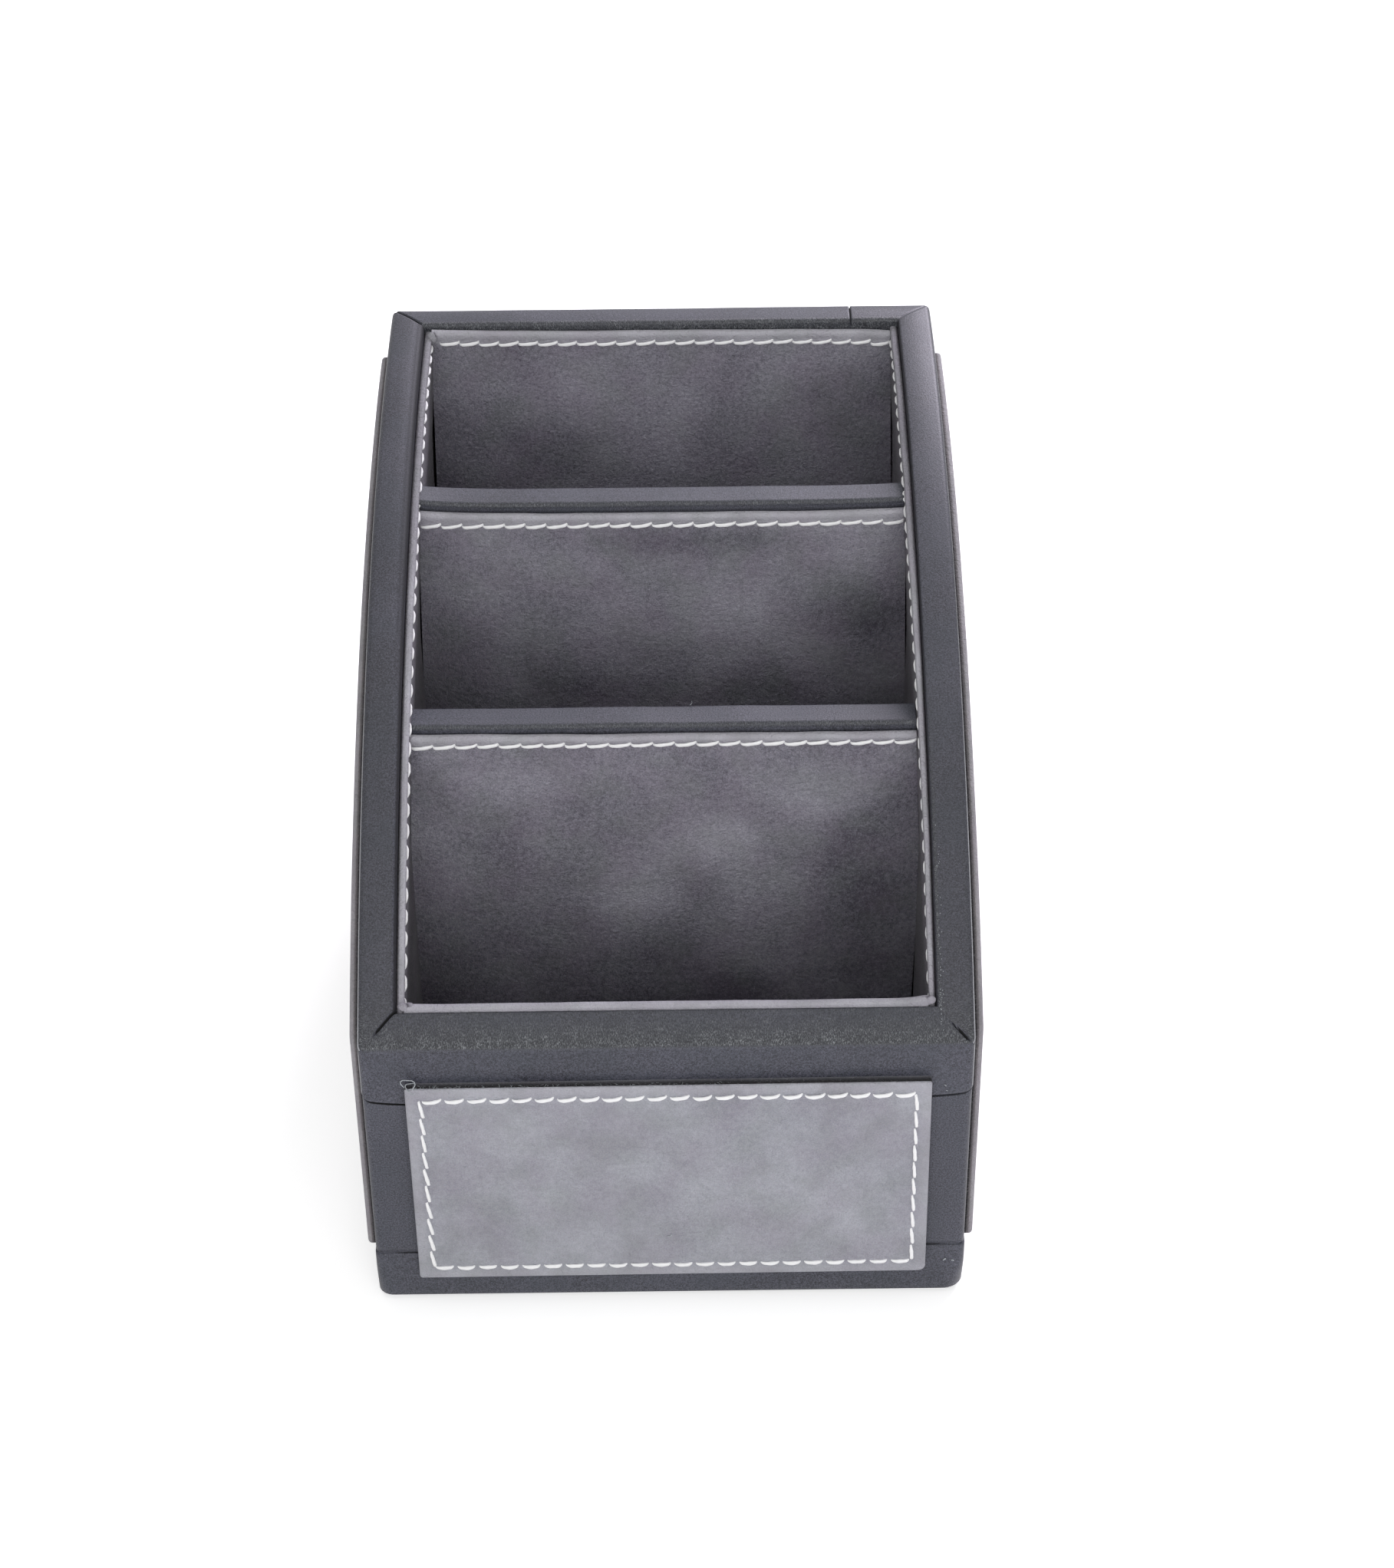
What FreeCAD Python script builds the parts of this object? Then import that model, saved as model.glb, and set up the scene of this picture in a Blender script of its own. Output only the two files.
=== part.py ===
import FreeCAD, Part
import math
import os
import Sketcher

# A three compartment holder for remote controls.
# Four boards wrapped in smooth leatherette are mitred at the corners round a base board, and two
# wrapped dividers cross the inside. Thin boards covered in nubuck line every compartment, and
# three nubuck panels are applied to the front and to both outer sides. White topstitching runs
# round the panels and along the top of each lining.
# +Z is up, the front faces -Y, and the origin is the middle of the footprint on the floor.
# The side boards' top edge is one circular arc, level where it meets the back board.

SIZES = (
    ("body_width", 105.0),             # outside width across the side boards
    ("body_depth", 150.0),             # outside depth from the front board to the back board
    ("front_height", 58.0),            # height of the front board's face
    ("back_height", 120.0),            # height of the back board
    ("side_board", 6.5),               # thickness of a wrapped side board
    ("front_board", 5.0),              # thickness of the wrapped front board
    ("back_board", 6.3),               # thickness of the wrapped back board
    ("base_board", 5.0),               # thickness of the base board
    ("divider_board", 6.0),            # thickness of a wrapped divider
    ("outer_radius", 1.2),             # rounding of the wrap at the outer edges
    ("inner_bevel", 0.7),              # bevel of the wrap at the inner top edges
    ("divider_radius", 0.8),           # rounding of the wrap along a divider's top
    ("front_divider_place", 49.2),     # from the body's front to the front divider's front face
    ("rear_divider_place", 94.0),      # from the body's front to the rear divider's front face
    ("divider_drop", 4.0),             # from the arc down to a divider's top
    ("lining_thickness", 1.5),         # thickness of a nubuck covered lining board
    ("floor_thickness", 1.5),          # thickness of a nubuck covered floor board
    ("lining_bevel", 0.4),             # bevel of a lining's top edge
    ("side_lining_drop", 1.8),         # from the arc down to a side lining's top
    ("cross_lining_drop", 2.0),        # from a back or divider board's top to its lining's top
    ("front_lining_rise", 0.3),        # from the front board's inner edge up to its lining's top
    ("panel_thickness", 1.8),          # thickness of an applied outer panel
    ("panel_margin", 7.0),             # from the body's edge to a panel's edge
    ("front_panel_margin", 7.5),       # from the body's side to the front panel's edge
    ("panel_corner", 1.6),             # corner radius of a panel
    ("panel_bevel", 0.5),              # bevel of a panel's face edge
    ("felt_thickness", 0.8),           # thickness of the felt under the base
    ("felt_margin", 3.0),              # from the body's side to the felt's edge
    ("felt_corner", 2.0),              # corner radius of the felt
    ("stitch_pitch", 3.8),             # distance from one stitch to the next
    ("stitch_gap", 0.6),               # distance between the ends of two stitches
    ("stitch_width", 0.9),             # width of the thread where it lies on the nubuck
    ("stitch_height", 0.35),           # how far the thread stands proud
    ("stitch_taper", 0.5),             # length of the slope at each end of a stitch
    ("panel_stitch_inset", 2.6),       # from a panel's edge to its seam
    ("lining_stitch_inset", 1.9),      # from a lining's top edge to its seam
)

# Sizes that follow from the driving ones.
WORKED = (
    ("rise", "Sizes.back_height - Sizes.front_height"),
    ("arc_radius", "(Sizes.body_depth^2 + rise^2) / (2 * rise)"),
    ("arc_level", "Sizes.back_height - arc_radius"),
    ("inner_back", "Sizes.body_depth - Sizes.back_board"),
    ("inner_width", "Sizes.body_width - 2 * Sizes.side_board"),
    ("lined_width", "inner_width - 2 * Sizes.lining_thickness"),
    ("front_edge", "arc_level + sqrt(arc_radius^2 - (Sizes.body_depth - Sizes.front_board)^2)"),
    ("back_edge", "arc_level + sqrt(arc_radius^2 - Sizes.back_board^2)"),
    ("front_divider_arc",
     "arc_level + sqrt(arc_radius^2 - (Sizes.body_depth - Sizes.front_divider_place)^2)"),
    ("rear_divider_arc",
     "arc_level + sqrt(arc_radius^2 - (Sizes.body_depth - Sizes.rear_divider_place)^2)"),
    ("front_divider_top", "front_divider_arc - Sizes.divider_drop"),
    ("rear_divider_top", "rear_divider_arc - Sizes.divider_drop"),
    ("front_divider_back", "Sizes.front_divider_place + Sizes.divider_board"),
    ("rear_divider_back", "Sizes.rear_divider_place + Sizes.divider_board"),
    ("proud", "Sizes.panel_thickness + Sizes.stitch_height"),
    ("front_face", "(proud - Sizes.body_depth) / 2"),
    ("left_face", "-Sizes.body_width / 2"),
    ("panel_radius", "arc_radius - Sizes.panel_margin"),
    ("panel_front", "Sizes.panel_margin"),
    ("panel_back", "Sizes.body_depth - Sizes.panel_margin"),
    ("panel_front_top",
     "arc_level + sqrt(panel_radius^2 - (Sizes.body_depth - panel_front)^2)"),
    ("panel_back_top",
     "arc_level + sqrt(panel_radius^2 - (Sizes.body_depth - panel_back)^2)"),
    ("front_panel_width", "Sizes.body_width - 2 * Sizes.front_panel_margin"),
    ("front_panel_height", "Sizes.front_height - 2 * Sizes.panel_margin"),
)

doc = FreeCAD.newDocument("RemoteControlHolder")
parts = {}


def make_sheet(name, rows, mark):
    """A spreadsheet with one named cell for each row."""
    sheet = doc.addObject("Spreadsheet::Sheet", name)
    for number, (alias, content) in enumerate(rows, start=1):
        sheet.set("A%d" % number, alias)
        sheet.set("B%d" % number, mark + str(content))
        sheet.setAlias("B%d" % number, alias)
    doc.recompute()
    return sheet


sizes = make_sheet("Sizes", SIZES, "")
worked = make_sheet("Worked", WORKED, "=")


def bind(thing, **expressions):
    """Ties properties of an object to the sheets."""
    for prop, expression in expressions.items():
        thing.setExpression(prop.replace("_at_", "."), expression)


def place(thing, x="Worked.left_face", y="Worked.front_face", z="Sizes.felt_thickness"):
    """Ties an object's place to the sheets. It starts at the body's lower front left corner."""
    bind(thing, Placement_at_Base_at_x=x, Placement_at_Base_at_y=y, Placement_at_Base_at_z=z)


def new_body(label):
    body = doc.addObject("PartDesign::Body", "Body_" + label)
    body.Label = label
    return body


def outline(body, role, corners, arc_from=None, arc_centre=None):
    """A closed sketch through the corners, anticlockwise, on one of the body's own planes.

    The edge that starts at the corner arc_from is an arc, with its centre at arc_centre across.
    """
    sketch = body.newObject("Sketcher::SketchObject", "Outline_" + body.Label)
    plane = [feature for feature in body.Origin.OriginFeatures if feature.Role == role][0]
    sketch.AttachmentSupport = (plane, [""])
    sketch.MapMode = "FlatFace"
    points = [FreeCAD.Vector(float(sketch.evalExpression(across)), float(sketch.evalExpression(up)), 0)
              for across, up in corners]
    count = len(points)
    for index, start in enumerate(points):
        end = points[(index + 1) % count]
        if index == arc_from:
            radius_centre = arc_middle(start, end, float(sketch.evalExpression(arc_centre)))
            sketch.addGeometry(arc_between(start, end, radius_centre))
        else:
            sketch.addGeometry(Part.LineSegment(start, end))
    for index in range(count):
        following = (index + 1) % count
        sketch.addConstraint(Sketcher.Constraint("Coincident", index, 2, following, 1))
    for index, (across, up) in enumerate(corners):
        for kind, value, expression in (("DistanceX", points[index].x, across),
                                        ("DistanceY", points[index].y, up)):
            number = sketch.addConstraint(Sketcher.Constraint(kind, -1, 1, index, 1, value))
            sketch.setExpression("Constraints[%d]" % number, expression)
    if arc_from is not None:
        value = float(sketch.evalExpression(arc_centre))
        number = sketch.addConstraint(Sketcher.Constraint("DistanceX", -1, 1, arc_from, 3, value))
        sketch.setExpression("Constraints[%d]" % number, arc_centre)
    return sketch


def arc_middle(start, end, across):
    """The centre, at a given place across, of a circle through two points."""
    middle = (start + end) * 0.5
    chord = end - start
    up = middle.y - (across - middle.x) * chord.x / chord.y
    return FreeCAD.Vector(across, up, 0)


def arc_between(start, end, centre):
    """The anticlockwise arc from start to end about the centre."""
    begin = math.atan2(start.y - centre.y, start.x - centre.x)
    finish = math.atan2(end.y - centre.y, end.x - centre.x)
    circle = Part.Circle(centre, FreeCAD.Vector(0, 0, 1), start.distanceToPoint(centre))
    return Part.ArcOfCircle(circle, begin, finish)


def pad(body, sketch, length, backwards=False):
    """Pushes a sketch into a plate or a block."""
    feature = body.newObject("PartDesign::Pad", "Pad_" + body.Label)
    feature.Profile = sketch
    feature.Reversed = backwards
    bind(feature, Length=length)
    doc.recompute()
    return feature


def edges_where(shape, test):
    """The names of a shape's edges whose middle point passes the test."""
    found = []
    for number, edge in enumerate(shape.Edges, start=1):
        middle = edge.valueAt((edge.FirstParameter + edge.LastParameter) / 2)
        if test(middle):
            found.append("Edge%d" % number)
    return found


def round_edges(body, feature, test, radius):
    """Rounds the edges of the body's last feature that pass the test."""
    fillet = body.newObject("PartDesign::Fillet", "Fillet_" + body.Label)
    fillet.Base = (feature, edges_where(feature.Shape, test))
    bind(fillet, Radius=radius)
    doc.recompute()
    return fillet


def bevel_edges(body, feature, test, width):
    """Bevels the edges of the body's last feature that pass the test."""
    chamfer = body.newObject("PartDesign::Chamfer", "Bevel_" + body.Label)
    chamfer.Base = (feature, edges_where(feature.Shape, test))
    bind(chamfer, Size=width)
    doc.recompute()
    return chamfer


def near(value, *levels):
    """How many of the levels a value lies on."""
    return sum(abs(value - level) < 1e-4 for level in levels)


def rectangle(width, height, x="0", y="0"):
    """Four corners, each a pair of expressions."""
    right = "%s + %s" % (x, width)
    top = "%s + %s" % (y, height)
    return ((x, y), (right, y), (right, top), (x, top))


def arc_height(across):
    """Height of the side boards' top edge at a distance from the body's front."""
    reach = sizes.body_depth - across
    return worked.arc_level + math.sqrt(worked.arc_radius ** 2 - reach ** 2)


def make_carcass():
    """The four walls in one: the side profile across the width, rounded and hollowed."""
    body = new_body("carcass")
    place(body)
    profile = outline(body, "YZ_Plane",
                      (("0", "0"), ("Sizes.body_depth", "0"),
                       ("Sizes.body_depth", "Sizes.back_height"), ("0", "Sizes.front_height")),
                      arc_from=2, arc_centre="Sizes.body_depth")
    block = pad(body, profile, "Sizes.body_width")

    def on_arc(point):
        return abs(point.z - arc_height(point.y)) < 1e-3

    rounded = round_edges(body, block, lambda point: True, "Sizes.outer_radius")
    hollow = outline(body, "XY_Plane",
                     rectangle("Worked.inner_width", "Worked.inner_back - Sizes.front_board",
                               "Sizes.side_board", "Sizes.front_board"))
    pocket = body.newObject("PartDesign::Pocket", "Pocket_carcass")
    pocket.Profile = hollow
    pocket.Type = "ThroughAll"
    pocket.Reversed = True
    doc.recompute()
    if pocket.Shape.Volume >= rounded.Shape.Volume:
        raise RuntimeError("the hollow cuts nothing from the carcass")

    def inner_top_edge(point):
        inside_x = near(point.x, sizes.side_board, sizes.body_width - sizes.side_board)
        inside_y = near(point.y, sizes.front_board, worked.inner_back)
        return on_arc(point) and inside_x + inside_y == 1

    bevel_edges(body, pocket, inner_top_edge, "Sizes.inner_bevel")
    return body


def mitre_block(name, long_from, long_to, thickness_near, thickness_far, thickness, turn, x, y):
    """A block with mitred ends that takes one wall out of the carcass.

    It lies along its own X from long_from to long_to at the wall's outer face, and narrows
    inwards by the thickness of the walls that it meets.
    """
    block = doc.addObject("Part::Wedge", "Mitre_" + name)
    block.Placement.Rotation = FreeCAD.Rotation(FreeCAD.Vector(0, 0, 1), turn)
    bind(block,
         Xmin="%s - %s" % (long_from, thickness_near), Xmax="%s + %s" % (long_to, thickness_far),
         X2min="%s + 2 * %s" % (long_from, thickness_near),
         X2max="%s - 2 * %s" % (long_to, thickness_far),
         Ymin="-%s" % thickness, Ymax="2 * %s" % thickness,
         Zmin="-Sizes.base_board", Zmax="Sizes.back_height + Sizes.base_board",
         Z2min="-Sizes.base_board", Z2max="Sizes.back_height + Sizes.base_board")
    place(block, x, y)
    return block


def make_walls(carcass):
    """Front, back and side boards, mitred where they meet."""
    width = "Sizes.body_width"
    depth = "Sizes.body_depth"
    side = "Sizes.side_board"
    front = "Sizes.front_board"
    back = "Sizes.back_board"
    blocks = {
        "front_board": mitre_block("front_board", "0", width, side, side, front, 0,
                                   "Worked.left_face", "Worked.front_face"),
        "back_board": mitre_block("back_board", "0", width, side, side, back, 180,
                                  "-Worked.left_face", "Worked.front_face + " + depth),
        "left_side_board": mitre_block("left_side_board", "0", depth, back, front, side, -90,
                                       "Worked.left_face", "Worked.front_face + " + depth),
        "right_side_board": mitre_block("right_side_board", "0", depth, front, back, side, 90,
                                        "-Worked.left_face", "Worked.front_face"),
    }
    for label, block in blocks.items():
        wall = doc.addObject("Part::Common", "Wall_" + label)
        wall.Base = carcass
        wall.Tool = block
        wall.Label = label
        parts[label] = wall


def make_slab(label, width, depth, height, x="0", y="0", z="0", soften=None, amount=None):
    """A plain board that stands or lies square in the body, its long top edges softened."""
    body = new_body(label)
    place(body, "Worked.left_face + " + x, "Worked.front_face + " + y, "Sizes.felt_thickness + " + z)
    block = pad(body, outline(body, "XY_Plane", rectangle(width, depth)), height)
    if soften:
        box = block.Shape.BoundBox

        def long_top_edge(point):
            return near(point.z, box.ZMax) and near(point.y, box.YMin, box.YMax)

        soften(body, block, long_top_edge, amount)
    parts[label] = body


def make_base():
    """The base board inside the walls, and the felt under it."""
    make_slab("base_board", "Worked.inner_width", "Worked.inner_back - Sizes.front_board",
              "Sizes.base_board", "Sizes.side_board", "Sizes.front_board")
    body = new_body("base_felt")
    place(body, "Worked.left_face + Sizes.felt_margin", "Worked.front_face + Sizes.felt_margin", "0")
    sheet = pad(body, outline(body, "XY_Plane",
                              rectangle("Sizes.body_width - 2 * Sizes.felt_margin",
                                        "Sizes.body_depth - 2 * Sizes.felt_margin")),
                "Sizes.felt_thickness")
    box = sheet.Shape.BoundBox

    def corner(point):
        return near(point.x, box.XMin, box.XMax) and near(point.y, box.YMin, box.YMax)

    round_edges(body, sheet, corner, "Sizes.felt_corner")
    parts["base_felt"] = body


def make_crosswise():
    """The dividers, and the linings that stand across the body between the side linings."""
    start = "Sizes.side_board + Sizes.lining_thickness"
    lining = "Sizes.lining_thickness"
    dividers = (
        ("rear_divider", "Worked.rear_divider_top", "Sizes.rear_divider_place"),
        ("front_divider", "Worked.front_divider_top", "Sizes.front_divider_place"),
    )
    for label, top, along in dividers:
        make_slab(label, "Worked.lined_width", "Sizes.divider_board", top + " - Sizes.base_board",
                  start, along, "Sizes.base_board", round_edges, "Sizes.divider_radius")
    drop = " - Sizes.cross_lining_drop"
    linings = (
        ("back_lining", "Worked.back_edge" + drop, "Worked.inner_back - " + lining),
        ("rear_divider_back_lining", "Worked.rear_divider_top" + drop, "Worked.rear_divider_back"),
        ("rear_divider_front_lining", "Worked.rear_divider_top" + drop,
         "Sizes.rear_divider_place - " + lining),
        ("front_divider_back_lining", "Worked.front_divider_top" + drop,
         "Worked.front_divider_back"),
        ("front_divider_front_lining", "Worked.front_divider_top" + drop,
         "Sizes.front_divider_place - " + lining),
        ("front_lining", "Worked.front_edge + Sizes.front_lining_rise", "Sizes.front_board"),
    )
    for label, top, along in linings:
        make_slab(label, "Worked.lined_width", lining, top + " - Sizes.base_board",
                  start, along, "Sizes.base_board", bevel_edges, "Sizes.lining_bevel")


def make_floors():
    """One nubuck covered floor board in each compartment, between the linings."""
    lining = "Sizes.lining_thickness"
    spans = (
        ("front_floor", "Sizes.front_board + " + lining, "Sizes.front_divider_place - " + lining),
        ("middle_floor", "Worked.front_divider_back + " + lining,
         "Sizes.rear_divider_place - " + lining),
        ("rear_floor", "Worked.rear_divider_back + " + lining, "Worked.inner_back - " + lining),
    )
    for label, begin, end in spans:
        make_slab(label, "Worked.lined_width", "(%s) - (%s)" % (end, begin), "Sizes.floor_thickness",
                  "Sizes.side_board + " + lining, begin, "Sizes.base_board")


def make_side_linings():
    """A lining along each side board, its top edge following the same arc a little lower."""
    front_top = "Worked.front_edge - Sizes.side_lining_drop"
    back_top = "Worked.back_edge - Sizes.side_lining_drop"
    places = (("left_lining", "Sizes.side_board"),
              ("right_lining", "Sizes.body_width - Sizes.side_board - Sizes.lining_thickness"))
    for label, across in places:
        body = new_body(label)
        place(body, "Worked.left_face + " + across)
        profile = outline(body, "YZ_Plane",
                          (("Sizes.front_board", "Sizes.base_board"),
                           ("Worked.inner_back", "Sizes.base_board"),
                           ("Worked.inner_back", back_top), ("Sizes.front_board", front_top)),
                          arc_from=2, arc_centre="Sizes.body_depth")
        board = pad(body, profile, "Sizes.lining_thickness")

        def top_edge(point):
            level = arc_height(point.y) - sizes.side_lining_drop
            return near(point.x, 0, sizes.lining_thickness) and abs(point.z - level) < 1e-3

        bevel_edges(body, board, top_edge, "Sizes.lining_bevel")
        parts[label] = body


def soften_panel(body, plate, depth_of, outer_level):
    """Rounds a panel's corners, then bevels the edge of its outer face."""
    def corner(point):
        return not near(depth_of(point), 0, outer_level)

    def face_edge(point):
        return near(depth_of(point), outer_level)

    cornered = round_edges(body, plate, corner, "Sizes.panel_corner")
    bevel_edges(body, cornered, face_edge, "Sizes.panel_bevel")


def make_panels():
    """The nubuck panels on the front board and on the outer faces of the side boards."""
    body = new_body("front_panel")
    place(body, "Worked.left_face + Sizes.front_panel_margin", "Worked.front_face",
          "Sizes.felt_thickness + Sizes.panel_margin")
    plate = pad(body, outline(body, "XZ_Plane",
                              rectangle("Worked.front_panel_width", "Worked.front_panel_height")),
                "Sizes.panel_thickness")
    soften_panel(body, plate, lambda point: point.y, -sizes.panel_thickness)
    parts["front_panel"] = body

    for label, x, outwards in (("left_outer_panel", "Worked.left_face", -1),
                               ("right_outer_panel", "-Worked.left_face", 1)):
        body = new_body(label)
        place(body, x)
        profile = outline(body, "YZ_Plane",
                          (("Worked.panel_front", "Sizes.panel_margin"),
                           ("Worked.panel_back", "Sizes.panel_margin"),
                           ("Worked.panel_back", "Worked.panel_back_top"),
                           ("Worked.panel_front", "Worked.panel_front_top")),
                          arc_from=2, arc_centre="Sizes.body_depth")
        plate = pad(body, profile, "Sizes.panel_thickness", backwards=outwards < 0)
        soften_panel(body, plate, lambda point: point.x, outwards * sizes.panel_thickness)
        parts[label] = body


def make_stitch_form():
    """One stitch, lying along X with its base at Y = 0 and rising to a crest along the middle."""
    form = doc.addObject("Part::Wedge", "StitchForm")
    half = "(Sizes.stitch_pitch - Sizes.stitch_gap) / 2"
    bind(form,
         Xmin="-" + half, Xmax=half,
         X2min="Sizes.stitch_taper - " + half, X2max=half + " - Sizes.stitch_taper",
         Ymin="0", Ymax="Sizes.stitch_height",
         Zmin="-Sizes.stitch_width / 2", Zmax="Sizes.stitch_width / 2",
         Z2min="0", Z2max="0")
    doc.recompute()
    return form


def stitch_along(form, seam, normal):
    """Copies of the stitch end to end along an edge, standing up from the nubuck along normal."""
    count = max(1, round(seam.Length / sizes.stitch_pitch))
    stitches = []
    for number in range(count):
        parameter = seam.getParameterByLength(seam.Length * (number + 0.5) / count)
        tangent = seam.tangentAt(parameter).normalize()
        turn = FreeCAD.Rotation(tangent, normal, tangent.cross(normal), "XYZ")
        stitch = form.Shape.copy()
        stitch.Placement = FreeCAD.Placement(seam.valueAt(parameter), turn)
        stitches.append(stitch)
    return stitches


def add_stitching(label, form, seams, normal):
    """One node that holds all the stitches of a board's seams."""
    stitches = []
    for seam in seams:
        stitches.extend(stitch_along(form, seam, normal))
    feature = doc.addObject("Part::Feature", "Stitching_" + label)
    feature.Label = label
    feature.Shape = Part.makeCompound(stitches)
    feature.Placement = FreeCAD.Placement()
    parts[label] = feature


def side_profile_seams(x, begin, end, bottom, radius, level):
    """Edges of a side seam: along the bottom, up the back, down the arc and down the front."""
    centre = FreeCAD.Vector(x, worked.front_face + sizes.body_depth, sizes.felt_thickness + level)

    def corner(along, up):
        return FreeCAD.Vector(x, worked.front_face + along, sizes.felt_thickness + up)

    def arc_point(along):
        reach = sizes.body_depth - along
        return corner(along, level + math.sqrt(radius ** 2 - reach ** 2))

    top_back = arc_point(end)
    top_front = arc_point(begin)
    half_way = (top_back + top_front) * 0.5 - centre
    summit = centre + half_way.normalize() * radius
    arc = Part.Arc(top_back, summit, top_front).toShape()
    if bottom is None:
        return [arc]
    low_front = corner(begin, bottom)
    low_back = corner(end, bottom)
    return [Part.makeLine(low_front, low_back), Part.makeLine(low_back, top_back), arc,
            Part.makeLine(top_front, low_front)]


def make_stitching():
    """The seams round the three panels and along the top of every lining."""
    form = make_stitch_form()
    forward = FreeCAD.Vector(0, -1, 0)
    inset = sizes.panel_stitch_inset
    edge_x = sizes.body_width / 2 - sizes.front_panel_margin - inset
    low = sizes.felt_thickness + sizes.panel_margin + inset
    high = sizes.felt_thickness + sizes.front_height - sizes.panel_margin - inset
    face = worked.front_face - sizes.panel_thickness
    corners = [FreeCAD.Vector(x, face, z) for x, z in
               ((-edge_x, low), (edge_x, low), (edge_x, high), (-edge_x, high))]
    seams = [Part.makeLine(corners[index], corners[(index + 1) % 4]) for index in range(4)]
    add_stitching("front_panel_stitching", form, seams, forward)

    outer = sizes.body_width / 2 + sizes.panel_thickness
    margin = sizes.panel_margin + inset
    for label, side in (("left_outer_panel_stitching", -1), ("right_outer_panel_stitching", 1)):
        seams = side_profile_seams(side * outer, margin, sizes.body_depth - margin, margin,
                                   worked.panel_radius - inset, worked.arc_level)
        add_stitching(label, form, seams, FreeCAD.Vector(side, 0, 0))

    inner = worked.lined_width / 2
    for label, side in (("left_lining_stitching", -1), ("right_lining_stitching", 1)):
        level = worked.arc_level - sizes.side_lining_drop - sizes.lining_stitch_inset
        seams = side_profile_seams(side * inner, sizes.front_board + sizes.lining_thickness,
                                   worked.inner_back - sizes.lining_thickness, None,
                                   worked.arc_radius, level)
        add_stitching(label, form, seams, FreeCAD.Vector(-side, 0, 0))

    lining = sizes.lining_thickness
    rows = (
        ("back_lining", worked.inner_back - lining, -1),
        ("rear_divider_back_lining", worked.rear_divider_back + lining, 1),
        ("rear_divider_front_lining", sizes.rear_divider_place - lining, -1),
        ("front_divider_back_lining", worked.front_divider_back + lining, 1),
        ("front_divider_front_lining", sizes.front_divider_place - lining, -1),
        ("front_lining", sizes.front_board + lining, 1),
    )
    for label, along, facing in rows:
        top = parts[label].Shape.BoundBox.ZMax - sizes.lining_stitch_inset
        y = worked.front_face + along
        seam = Part.makeLine(FreeCAD.Vector(-inner, y, top), FreeCAD.Vector(inner, y, top))
        add_stitching(label + "_stitching", form, [seam], FreeCAD.Vector(0, facing, 0))


def check_document():
    """Stops on any object that failed, and on any piece that is empty or not valid."""
    for thing in doc.Objects:
        if "Invalid" in thing.State or "Error" in thing.State:
            raise RuntimeError("%s did not compute: %s" % (thing.Name, thing.State))
    for label, piece in parts.items():
        shape = piece.Shape
        if shape.isNull() or not shape.isValid() or not shape.Solids:
            raise RuntimeError("%s is not a valid solid" % label)


def write_parts():
    os.makedirs("parts", exist_ok=True)
    for label, piece in parts.items():
        piece.Shape.exportStep("parts/%s.step" % label)
        print("%-36s %3d solids  %10.1f mm3" % (label, len(piece.Shape.Solids), piece.Shape.Volume))


make_walls(make_carcass())
make_base()
make_side_linings()
make_crosswise()
make_floors()
make_panels()
doc.recompute()
make_stitching()
doc.recompute()
check_document()
write_parts()
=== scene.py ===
import math
import random

import bmesh
import bpy
from mathutils import Matrix, Vector, noise


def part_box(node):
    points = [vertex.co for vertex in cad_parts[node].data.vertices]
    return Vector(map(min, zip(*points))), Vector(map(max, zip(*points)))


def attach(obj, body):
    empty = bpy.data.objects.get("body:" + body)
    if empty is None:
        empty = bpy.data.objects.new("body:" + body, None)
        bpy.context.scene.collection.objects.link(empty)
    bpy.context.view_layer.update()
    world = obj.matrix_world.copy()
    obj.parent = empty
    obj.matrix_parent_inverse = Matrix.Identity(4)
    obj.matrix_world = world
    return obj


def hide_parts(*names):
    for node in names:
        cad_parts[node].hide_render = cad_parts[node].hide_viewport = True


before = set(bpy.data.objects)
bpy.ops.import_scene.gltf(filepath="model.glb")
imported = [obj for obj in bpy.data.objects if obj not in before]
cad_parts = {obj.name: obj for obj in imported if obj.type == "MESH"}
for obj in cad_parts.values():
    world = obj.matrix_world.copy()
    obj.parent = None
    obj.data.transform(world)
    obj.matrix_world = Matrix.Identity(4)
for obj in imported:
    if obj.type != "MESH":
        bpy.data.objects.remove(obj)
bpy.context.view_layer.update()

# Dressing of the remote control holder: leatherette wrapped walls and dividers, nubuck covered
# linings and panels with sewn seams, the camera, the light and the floor.
# Lengths are in millimetres here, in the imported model's frame: +Z up, the front towards -Y.

MM = 0.001

# The body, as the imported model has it
HALF_WIDTH = 52.5
FRONT = -73.925
BACK = 76.075
BASE = 0.8
FRONT_HEIGHT = 58.0
BACK_HEIGHT = 120.0
RISE = BACK_HEIGHT - FRONT_HEIGHT
ARC_RADIUS = ((BACK - FRONT) ** 2 + RISE ** 2) / (2 * RISE)
ARC_CENTRE = BASE + BACK_HEIGHT - ARC_RADIUS
BOARD = {"left": 6.5, "right": 6.5, "front": 5.0, "back": 6.3}
LINING = 1.5
LINED = HALF_WIDTH - BOARD["left"] - LINING
SIDE_LINING_DROP = 1.8

# Seams: stitch pitch, how far below a lining's top, and how far inside a panel's edge
PITCH = 3.8
SEAM_DROP = 1.9
PANEL_INSET = 2.6
FRONT_PANEL_THICKNESS = 1.8
SIDE_PANEL_THICKNESS = 2.0
SIDE_PANEL_DROP = 7.0

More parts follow.
